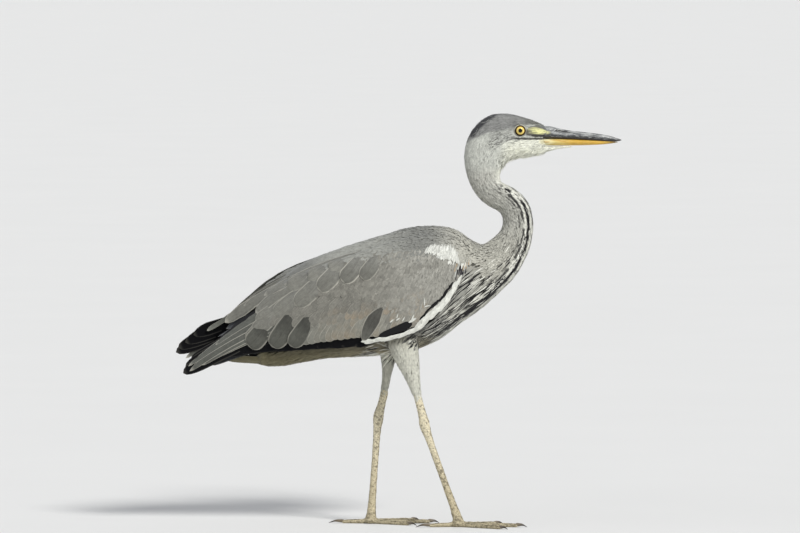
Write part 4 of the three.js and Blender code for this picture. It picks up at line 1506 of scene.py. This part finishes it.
def wing_edge(flank, material):
    """The white leading edge with the black line inside it, and the white patch at the bend of the wing."""
    rng = np.random.default_rng(50 + flank.side)
    made = []
    for line, colour, half, height, long, chance in EDGE_LINES:
        points, ways = even_line(line, 3.6)
        for point, way in zip(points, ways):
            if rng.random() > chance:
                continue
            shift = rng.normal(0, 0.6, 2)
            way = unit(way + rng.normal(0, 0.045, 2))
            tone = colour * rng.uniform(0.8, 1.0)
            made.append(feather(point - way * 4 + shift, point + way * (long - 4) + shift, half, tone,
                                low=0.2, high=height, fringe=0.0, bow=-0.8))
    for number in range(BLACK_PATCH_COUNT):
        root = np.array([20 - number * 4.4, 299 - number * 1.7])
        made.append(feather(root, root + np.array([-24, -10]), 6.2 - 0.3 * number, BLACK, low=0.4, high=1.3,
                            fringe=0.0))
    for root, tip, half, bow in WHITE_FLECKS:
        made.append(feather(root, tip, half, WHITE * 0.85, bow=bow, low=0.6, high=1.7, fringe=0.0))
    x, z = rng.uniform([30, 384], [84, 408], (900, 2)).T
    held = inside(x, z, CARPAL_PATCH)
    for x, z in zip(x[held], z[held]):
        way = wing_way(x) + rng.normal(0, 0.12, 2)
        tip = np.array([x, z]) + way * 4.5
        made.append(feather(tip - way * 12, tip, 0.95, WHITE * rng.uniform(0.62, 0.97), low=-0.6, fringe=0.0,
                            high=1.4 + 0.5 * rng.random()))
    flank.blades("wing_edge", made, material, slot="plumage_pale", ring=COVERT_RING, shape=pointed,
                 stations=np.array([0.12, 0.35, 0.6, 0.85]), thickness=0.25)


# Tips of the primaries, and where they and the secondaries start.
RIGHT_PRIMARIES = ((-314, 222), (-311, 231), (-303, 241))
LEFT_PRIMARIES = ((-325, 251), (-322, 258), (-312, 266), (-300, 277))
PRIMARY_ROOT = -180.0
SECONDARIES = 11
SECONDARY_STEP = 19
SECONDARY_LENGTH = 105


def flight_feathers(flank, material):
    """Black secondaries below the coverts and the primaries that run out at the rear."""
    made = []
    for number in range(SECONDARIES):
        front = 40 - SECONDARY_STEP * number
        rear = front - SECONDARY_LENGTH
        root, tip = (front, along(BLACK_EDGE, front) + 11), (rear, along(BLACK_EDGE, rear) + 4)
        made.append(feather(root, tip, 8.5, BLACK, bow=-2, low=-3.6 - 0.1 * number, high=-1.6, fringe=0.05))
    flank.blades("secondaries", made, material, slot="plumage_black", camber=0.06)
    tips, height = (RIGHT_PRIMARIES, 286) if flank.side < 0 else (LEFT_PRIMARIES, 300)
    made = [
        feather((PRIMARY_ROOT, height + 4 * number), tip, 11, BLACK, bow=-4, low=-4.0,
                high=-1.6 - 0.5 * number, fringe=0.1)
        for number, tip in enumerate(tips)
    ]
    flank.blades("long_primaries", made, material, slot="plumage_black", camber=0.06, lift=False,
                 nodes=["primaries_" + flank.name])


TAIL_COUNT = 12


def tail_feathers(material):
    """Twelve broad slate feathers in a narrow fan, those at the sides lower."""
    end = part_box("tail")[0][0] / MM
    stations = np.array([0.05, 0.2, 0.4, 0.6, 0.75, 0.85, 0.92, 0.97])
    levels = with_ends(stations)
    rows = []
    for number in range(TAIL_COUNT):
        fan = (number - (TAIL_COUNT - 1) / 2) / ((TAIL_COUNT - 1) / 2)
        layer = abs(fan)
        root = np.array([-170, fan * 9, 284 - 12 * layer])
        tip = np.array([end + 3 + 10 * layer**2, fan * 13, 240 - 3 * layer])
        middle = (root + tip) / 2 + np.array([0, fan * 4, 3])
        line = (1 - levels)[:, None] ** 2 * root + (2 * levels * (1 - levels))[:, None] * middle
        line = line + levels[:, None] ** 2 * tip
        tone = TAIL_GREY * (1.05 - 0.1 * (number % 2))
        rows.append((line, (0.35, fan * 0.75, 0.9), 10.5 * rounded(stations, 0.5, 0.85), (*tone, 0.25)))
    quills("tail_feathers", rows, stations, material, QUILL_RING, 0.12, 0.4, "tail")


# ---- Materials ----
class Recipe:
    """A material's nodes, added one after the other."""

    def __init__(self, name, **constants):
        self.material = bpy.data.materials.new(name)
        self.material.use_nodes = True
        self.tree = self.material.node_tree
        self.shader = self.tree.nodes["Principled BSDF"]
        for socket, value in constants.items():
            self.shader.inputs[socket.replace("_", " ")].default_value = value

    def node(self, kind, inputs=None, **settings):
        made = self.tree.nodes.new("ShaderNode" + kind)
        for key, value in settings.items():
            setattr(made, key, value)
        for socket, value in (inputs or {}).items():
            self.feed(made.inputs[socket], value)
        return made

    def feed(self, socket, value):
        if isinstance(value, bpy.types.NodeSocket):
            self.tree.links.new(value, socket)
        else:
            socket.default_value = value

    def math(self, operation, *values, clamp=False):
        made = self.node("Math", operation=operation, use_clamp=clamp)
        for number, value in enumerate(values):
            self.feed(made.inputs[number], value)
        return made.outputs[0]

    def band(self, value, low, high):
        """Rises softly from 0 at low to 1 at high."""
        ends = {"Value": value, "From Min": low, "From Max": high}
        return self.node("MapRange", ends, interpolation_type="SMOOTHSTEP").outputs["Result"]

    def blend(self, kind, share, first, second):
        made = self.node("Mix", data_type="RGBA", blend_type=kind)
        for number, value in ((0, share), (6, first), (7, second)):
            self.feed(made.inputs[number], value)
        return made.outputs[2]

    def noise(self, scale, detail, roughness=0.5):
        place = self.node("TexCoord").outputs["Object"]
        grain = {"Vector": place, "Scale": scale, "Detail": detail, "Roughness": roughness}
        return self.node("TexNoise", grain).outputs["Fac"]

    def bump(self, height, strength, distance):
        made = self.node("Bump", {"Height": height, "Strength": strength, "Distance": distance})
        self.tree.links.new(made.outputs["Normal"], self.shader.inputs["Normal"])

    def colour(self, value):
        self.tree.links.new(value, self.shader.inputs["Base Color"])
        return self.material


def plumage(name, barbs, fringe_width, barb_depth, shaft, side_shade, streaks, gloss=0.25):
    """Feather vanes: the coat's own colour, a pale fringe, a shaft line, fine barbs slanting off it and
    painted shade at the sides.
    """
    recipe = Recipe(name, Roughness=0.82, Specular_IOR_Level=gloss, Sheen_Weight=gloss / 2,
                    Sheen_Roughness=0.5)
    coat = recipe.node("Attribute", attribute_name="Coat")
    place = recipe.node("UVMap", uv_map="Vane").outputs["UV"]
    parted = recipe.node("SeparateXYZ", {"Vector": place})
    across, level = parted.outputs["X"], parted.outputs["Y"]
    off = recipe.math("ABSOLUTE", recipe.math("SUBTRACT", across, 0.5))
    slant = recipe.math("MULTIPLY", level, barbs)
    slant = recipe.math("SUBTRACT", slant, recipe.math("MULTIPLY", off, barbs * 0.35))
    barb = recipe.math("SINE", recipe.math("MULTIPLY", slant, 2 * math.pi))
    side = recipe.band(off, 0.5 - fringe_width, 0.49)
    tip = recipe.band(level, 1 - fringe_width * 0.55, 0.995)
    edge = recipe.math("MULTIPLY", recipe.math("MAXIMUM", side, tip), coat.outputs["Alpha"])
    mottled = recipe.noise(230.0, 4.0, 0.65)
    cloudy = recipe.noise(75.0, 2.0)
    tone = recipe.math("ADD", 0.5, recipe.math("MULTIPLY", mottled, 0.62))
    tone = recipe.math("ADD", tone, recipe.math("MULTIPLY", cloudy, 0.38))
    streaked = recipe.node("CombineXYZ", {"X": recipe.math("MULTIPLY", across, 13.0), "Y": level,
                                          "Z": recipe.math("MULTIPLY", cloudy, 9.0)}).outputs["Vector"]
    streak = recipe.node("TexNoise", {"Vector": streaked, "Scale": 1.0, "Detail": 3.0}).outputs["Fac"]
    tone = recipe.math("ADD", tone, recipe.math("MULTIPLY", recipe.math("SUBTRACT", streak, 0.5), streaks))
    tone = recipe.math("ADD", tone, recipe.math("MULTIPLY", barb, 0.035))
    # painted shade: the vane is painted darker away from its shaft, as if curving away from the light
    tone = recipe.math("SUBTRACT", tone, recipe.math("MULTIPLY", off, side_shade))
    colour = recipe.blend("MULTIPLY", 1.0, coat.outputs["Color"], tone)
    colour = recipe.blend("MIX", edge, colour, (*FRINGE, 1))
    quill = recipe.math("MULTIPLY", recipe.math("SUBTRACT", 1.0, recipe.band(off, 0.006, 0.03)), shaft)
    colour = recipe.blend("MULTIPLY", quill, colour, (0.55, 0.53, 0.5, 1))
    recipe.bump(recipe.math("ADD", barb, recipe.math("MULTIPLY", mottled, 0.8)), barb_depth, 0.0003)
    return recipe.colour(colour)


def skin_finish(name):
    """Feathered skin, and the horny skin of the legs with its small scales."""
    recipe = Recipe(name, Roughness=0.7, Specular_IOR_Level=0.3)
    coat = recipe.node("Attribute", attribute_name="Coat")
    place = recipe.node("TexCoord").outputs["Object"]
    scales = recipe.node("TexVoronoi", {"Vector": place, "Scale": 420.0}, feature="DISTANCE_TO_EDGE")
    seam = recipe.math("SUBTRACT", 1.0, recipe.band(scales.outputs["Distance"], 0.0, 0.16))
    seam = recipe.math("MULTIPLY", seam, coat.outputs["Alpha"])
    tone = recipe.math("ADD", 0.84, recipe.math("MULTIPLY", recipe.noise(340.0, 4.0), 0.32))
    colour = recipe.blend("MULTIPLY", 1.0, coat.outputs["Color"], tone)
    colour = recipe.blend("MULTIPLY", seam, colour, (0.5, 0.47, 0.42, 1))
    recipe.bump(recipe.math("SUBTRACT", recipe.noise(900.0, 3.0), seam), 0.5, 0.0004)
    return recipe.colour(colour)


def horn_finish(name, roughness, coat_weight):
    """Horn of the bill and claws: its own colour with fine scuffs along it."""
    recipe = Recipe(name, Roughness=roughness, Specular_IOR_Level=0.45, Coat_Weight=coat_weight,
                    Coat_Roughness=0.3)
    coat = recipe.node("Attribute", attribute_name="Coat")
    place = recipe.node("TexCoord").outputs["Object"]
    stretched = recipe.node("Mapping", {"Vector": place, "Scale": (0.16, 1, 1)}).outputs["Vector"]
    grain = recipe.node("TexNoise", {"Vector": stretched, "Scale": 900.0, "Detail": 5.0, "Roughness": 0.6})
    grain = grain.outputs["Fac"]
    scuff = recipe.math("MULTIPLY", recipe.band(grain, 0.54, 0.68), coat.outputs["Alpha"])
    tone = recipe.math("ADD", 0.8, recipe.math("MULTIPLY", recipe.noise(180.0, 4.0), 0.4))
    colour = recipe.blend("MULTIPLY", 1.0, coat.outputs["Color"], tone)
    colour = recipe.blend("MIX", scuff, colour, (*BILL_PALE, 1))
    recipe.bump(grain, 0.35, 0.0004)
    return recipe.colour(colour)


def eye_finish():
    """Black pupil, yellow iris darker at its rim, and the dark ring of the eyeball under a clear coat."""
    recipe = Recipe("eye", Roughness=0.15, Specular_IOR_Level=0.15, Coat_Weight=0.35, Coat_Roughness=0.03)
    place = recipe.node("TexCoord").outputs["Object"]
    parted = recipe.node("SeparateXYZ", {"Vector": place})
    ahead = recipe.math("SUBTRACT", parted.outputs["X"], float(EYE[0]) * MM)
    above = recipe.math("SUBTRACT", parted.outputs["Z"], float(EYE[2]) * MM)
    reach = recipe.math("SQRT", recipe.math("ADD", recipe.math("MULTIPLY", ahead, ahead),
                                            recipe.math("MULTIPLY", above, above)))
    reach = recipe.math("DIVIDE", reach, EYE_RADIUS * MM)
    ramp = recipe.node("ValToRGB", {"Fac": reach})
    pupil, iris = PUPIL_RADIUS / EYE_RADIUS, IRIS_RADIUS / EYE_RADIUS
    stops = (
        (0.0, (4, 4, 5)), (pupil - 0.02, (4, 4, 5)), (pupil + 0.02, (214, 184, 88)), (0.6, (241, 221, 130)),
        (iris - 0.03, (204, 158, 56)), (iris + 0.02, (44, 32, 18)), (1.0, (26, 20, 14)),
    )
    while len(ramp.color_ramp.elements) < len(stops):
        ramp.color_ramp.elements.new(0.5)
    for element, (place_on_ramp, shade) in zip(ramp.color_ramp.elements, stops):
        element.position = place_on_ramp
        element.color = (*paint(*shade), 1)
    fibres = recipe.math("ADD", 0.85, recipe.math("MULTIPLY", recipe.noise(1500.0, 3.0), 0.3))
    recipe.bump(recipe.noise(1200.0, 2.0), 0.05, 0.0002)
    return recipe.colour(recipe.blend("MULTIPLY", 1.0, ramp.outputs["Color"], fibres))


def floor_finish():
    recipe = Recipe("studio_floor", Roughness=0.9, Specular_IOR_Level=0.1)
    tone = recipe.math("ADD", 0.985, recipe.math("MULTIPLY", recipe.noise(3.0, 2.0), 0.03))
    return recipe.colour(recipe.blend("MULTIPLY", 1.0, (*FLOOR, 1), tone))


# ---- Hard parts ----
BILL_ROOT = 217.0  # behind this the horn runs on into the head
BILL_VOXEL = 0.5


def horn_copy(node):
    """A smooth fine copy of half of the bill, its rear end drawn out into the head."""
    piece = merged_copy(node, node + "_horn")
    apply_modifier(piece, "SUBSURF", levels=2, render_levels=2)
    apply_modifier(piece, "REMESH", mode="VOXEL", voxel_size=BILL_VOXEL * MM)
    apply_modifier(piece, "SMOOTH", factor=0.5, iterations=3)
    points = vertices_of(piece.data)
    behind = np.maximum(BILL_ROOT - points[:, 0], 0)
    points[:, 0] -= 1.6 * behind
    set_vertices(piece.data, points)
    bpy.ops.object.shade_smooth()
    return piece


NOSTRIL = [(227, 573), (242, 571.6)]
NOSTRIL_GROOVE = [(214, 574.4), (242, 571.4), (270, 568.3), (292, 565.6)]
BILL_MEETING = [(209, 561.9), (236, 561.2), (265, 559.9), (292, 558.3), (310, 557.6), (322, 558)]
CULMEN = [(209, 580.4), (265, 571), (300, 565), (322, 561)]
# painted shade along the lower edge of the upper bill: its height at each x
SHADE_BAND_DEPTH = [  # x, height of the dark band
    (214, 3.0), (240, 4.0), (262, 4.6), (288, 4.2), (306, 2.8), (322, 1.5),
]


def upper_bill(material):
    """The upper half of the bill, with the nostrils and their grooves cut in."""
    piece = horn_copy("bill_upper")
    points = vertices_of(piece.data)
    x, y, z = points.T
    groove = near_line(x, z, NOSTRIL_GROOVE, 0.4, 2.0) * smoothstep(300, 262, x)
    slit = near_line(x, z, NOSTRIL, 0.4, 1.2)
    sink = 0.55 * groove + 1.5 * slit
    above = z - along(BILL_MEETING, x)
    deep = along(CULMEN, x) - along(BILL_MEETING, x)
    points[:, 1] -= np.sign(y) * np.minimum(sink, np.abs(y) * 0.5)
    points[:, 2] -= 0.75 * (1 - smoothstep(0.2, 3, above))
    points[:, 2] += 1.4 * smoothstep(250, 214, x) * smoothstep(0.4, 0.9, above / deep)
    set_vertices(piece.data, points)
    # painted shade: a dark band along the lower edge of the upper bill, on its side that faces down
    shade_band = smoothstep(1.2, 0.6, above / along(SHADE_BAND_DEPTH, x)) * smoothstep(204, 216, x)
    height = above / np.maximum(deep, 1)
    streaks = ripple(points * [0.05, 1, 1], 0.7, 3) + 0.6 * ripple(points * [0.16, 1, 1], 0.6, 4)
    dark_part = 0.33 + 0.25 * smoothstep(235, 285, x)
    pale_part = smoothstep(dark_part, dark_part + 0.2, height + 0.1 * streaks)
    # pale scuffs along the horn, with a painted highlight added along the top ridge
    scuffs_and_ridge_highlight = smoothstep(0.0, 0.9, streaks + 0.6 * smoothstep(0.7, 1.0, height))
    yellow = (1 - smoothstep(0.6, 2.6, np.abs(z - 571.2) + 0.8 * streaks)) * smoothstep(221, 212, x)
    shaded = 0.6 * groove * smoothstep(262, 240, x) * smoothstep(216, 226, x)
    colour = mix(BILL_SLATE * 0.3, BILL_SLATE * 1.08, pale_part)
    for tone, share in (
        (BILL_PALE, 0.42 * pale_part * scuffs_and_ridge_highlight),
        (BILL_SLATE * 0.3, 0.55 * smoothstep(0.1, -0.8, streaks)),
        (LORE_YELLOW * 0.85, yellow),
        (BILL_DARK, 0.9 * shade_band),
        # painted shade in the nostril groove and in the nostril slit
        (BILL_DARK, np.maximum(shaded, slit)),
        (BILL_DARK, 0.7 * smoothstep(298, 320, x)),
    ):
        colour = mix(colour, tone, share)
    colour_vertices(piece.data, np.c_[colour, 0.95 * (1 - shade_band) * (1 - yellow)])
    finish_piece(piece, material, "bill_slate", "bill_upper")


def lower_bill(material):
    """The lower half of the bill, closed against the upper one."""
    piece = horn_copy("bill_lower")
    points = vertices_of(piece.data)
    x, _, z = points.T
    below = along(BILL_MEETING, x) - z
    points[:, 2] += 0.7 * (1 - smoothstep(0.2, 3, below))
    set_vertices(piece.data, points)
    patchy = smoothstep(0.1, 0.8, ripple(points * [0.15, 1, 1], 2, 5))
    colour = mix(BILL_YELLOW, BILL_CREAM, smoothstep(258, 210, x))
    for tone, share in (
        (THROAT * [1, 0.96, 0.8], 0.55 * smoothstep(228, 212, x)),
        (BILL_YELLOW * [0.8, 0.66, 0.5], 0.5 * patchy),
        (BILL_DARK, 0.75 * smoothstep(294, 315, x)),
        # painted shade along the top of the lower bill, under the edge of the upper one
        (BILL_DARK, 0.8 * smoothstep(0.7, 0.2, below) * smoothstep(222, 240, x)),
    ):
        colour = mix(colour, tone, share)
    colour_vertices(piece.data, np.c_[colour, np.full(len(x), 0.12)])
    finish_piece(piece, material, "bill_yellow", "bill_lower")


def eyes(material):
    for name, side in (("right", -1), ("left", 1)):
        deselect_all()
        centre = Vector((EYE[0], side * EYE[1], EYE[2])) * MM
        bpy.ops.mesh.primitive_uv_sphere_add(segments=48, ring_count=32, radius=EYE_RADIUS * MM,
                                             location=centre, rotation=(math.radians(90), 0, 0))
        piece = bpy.context.object
        piece.name = piece.data.name = "eyeball_" + name
        bpy.ops.object.transform_apply(location=True, rotation=True, scale=True)
        points = vertices_of(piece.data)
        reach = np.hypot(points[:, 0] - EYE[0], points[:, 2] - EYE[2])
        outer = points[:, 1] * side > EYE[1]
        points[:, 1] += side * outer * 0.55 * (1 - smoothstep(0, IRIS_RADIUS + 0.6, reach))
        set_vertices(piece.data, points)
        bpy.ops.object.shade_smooth()
        finish_piece(piece, material, "eye", "eye_" + name)


def claws(material):
    for node in sorted(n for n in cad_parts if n.startswith("claw")):
        piece = merged_copy(node, node + "_horn")
        apply_modifier(piece, "SUBSURF", levels=2, render_levels=2)
        bpy.ops.object.shade_smooth()
        points = vertices_of(piece.data)
        tip = points[np.argmin(points[:, 2])]
        root = points[np.argmax(np.linalg.norm(points - tip, axis=1))]
        long = np.linalg.norm(root - tip)
        way = (root - tip) / long
        reach = (points - tip) @ way
        share = reach / long
        middle = tip + reach[:, None] * way
        points = points + (points - middle) * (0.12 * smoothstep(0.2, 0.8, share))[:, None]
        points = points + way * (3.0 * smoothstep(0.75, 1.0, share))[:, None]
        points[:, 2] = np.maximum(points[:, 2], 0.05)
        set_vertices(piece.data, points)
        reach = np.linalg.norm(points - tip, axis=1)
        colour = mix(CLAW_TIP, CLAW_ROOT, smoothstep(4, 16, reach))
        colour_vertices(piece.data, np.c_[colour, np.full(len(points), 0.1)])
        finish_piece(piece, material, "claw_horn", node)


# ---- Studio ----
LOOK_AT = Vector((0.9, 0, 376.3)) * MM
CAMERA_DISTANCE = 10.0
CAMERA_ELEVATION = math.radians(3)
LENS = 310.3
SENSOR = 36.0
LAMPS = (  # name, strength, width in degrees, way
    ("key_light", 2.7, 15, (-0.5, 0.66, -0.72)),
    ("fill_light", 0.5, 60, (0.8, 0.5, -0.35)),
    ("rim_light", 0.5, 40, (0.25, -0.9, -0.6)),
)
SKY = (0.86, 0.9, 1.0, 1)


def studio():
    deselect_all()
    bpy.ops.mesh.primitive_circle_add(vertices=96, radius=150, fill_type="NGON")
    floor = bpy.context.object
    floor.name = "studio_floor"
    floor.data.materials.append(floor_finish())

    back = Vector((0, -math.cos(CAMERA_ELEVATION), math.sin(CAMERA_ELEVATION)))
    camera = bpy.data.objects.new("camera", bpy.data.cameras.new("camera"))
    bpy.context.scene.collection.objects.link(camera)
    camera.location = LOOK_AT + back * CAMERA_DISTANCE
    camera.rotation_euler = (-back).to_track_quat("-Z", "Y").to_euler()
    camera.data.lens = LENS
    camera.data.sensor_width = SENSOR
    camera.data.clip_end = 500
    bpy.context.scene.camera = camera

    for name, energy, angle, way in LAMPS:
        lamp = bpy.data.objects.new(name, bpy.data.lights.new(name, "SUN"))
        bpy.context.scene.collection.objects.link(lamp)
        lamp.data.energy = energy
        lamp.data.angle = math.radians(angle)
        lamp.rotation_euler = Vector(way).to_track_quat("-Z", "Y").to_euler()

    world = bpy.data.worlds.new("studio_air")
    world.use_nodes = True
    sky = world.node_tree.nodes["Background"]
    sky.inputs["Color"].default_value = SKY
    sky.inputs["Strength"].default_value = 0.4
    bpy.context.scene.world = world
    bpy.context.scene.view_settings.view_transform = "Standard"


# ---- Assembly ----
studio()
small_plumage = plumage("small_plumage", 10.0, 0.12, 0.15, 0.15, 0.0, 0.25)
large_plumage = plumage("large_plumage", 60.0, 0.1, 0.35, 0.4, 0.24, 0.7)
dark_plumage = plumage("dark_plumage", 60.0, 0.1, 0.3, 0.3, 0.1, 0.5, gloss=0.08)
horn = horn_finish("horn", 0.38, 0.25)
scales = skin_finish("leg_scales")

skin_piece = flesh_surface()
hide = Hide(skin_piece)
skin_colour = markings(hide.outline, hide.parts, hide.front)
bare_legs = of_part(hide.parts, *BARE)
feathered = ~bare_legs & (bare_face(hide.outline) < 0.5)
# painted shade: the skin between the feathers is painted a little darker
skin_colour[feathered] *= 0.95  # a little darker between the feathers
colour_vertices(skin_piece.data, np.c_[skin_colour, bare_legs])
skin_piece.data.shade_smooth()
finish_piece(skin_piece, skin_finish("skin"), "plumage_pale", *FLESH)

for cover in (head_coat, neck_coat, breast_plumes, loose_feathers, belly_coat, back_coat):
    cover(hide, small_plumage)
for side in ("right", "left"):
    thigh_coat(hide, small_plumage, side)
    leg_scales(hide, scales, side)
for flank in (Flank("right", -1), Flank("left", 1)):
    wing_small(flank, hide, small_plumage)
    wing_coverts(flank, large_plumage)
    wing_large(flank, large_plumage)
    wing_edge(flank, small_plumage)
    flight_feathers(flank, dark_plumage)
tail_feathers(large_plumage)
ridge_feathers(large_plumage)
tail_coverts(small_plumage)
upper_bill(horn)
lower_bill(horn)
eyes(eye_finish())
claws(horn)
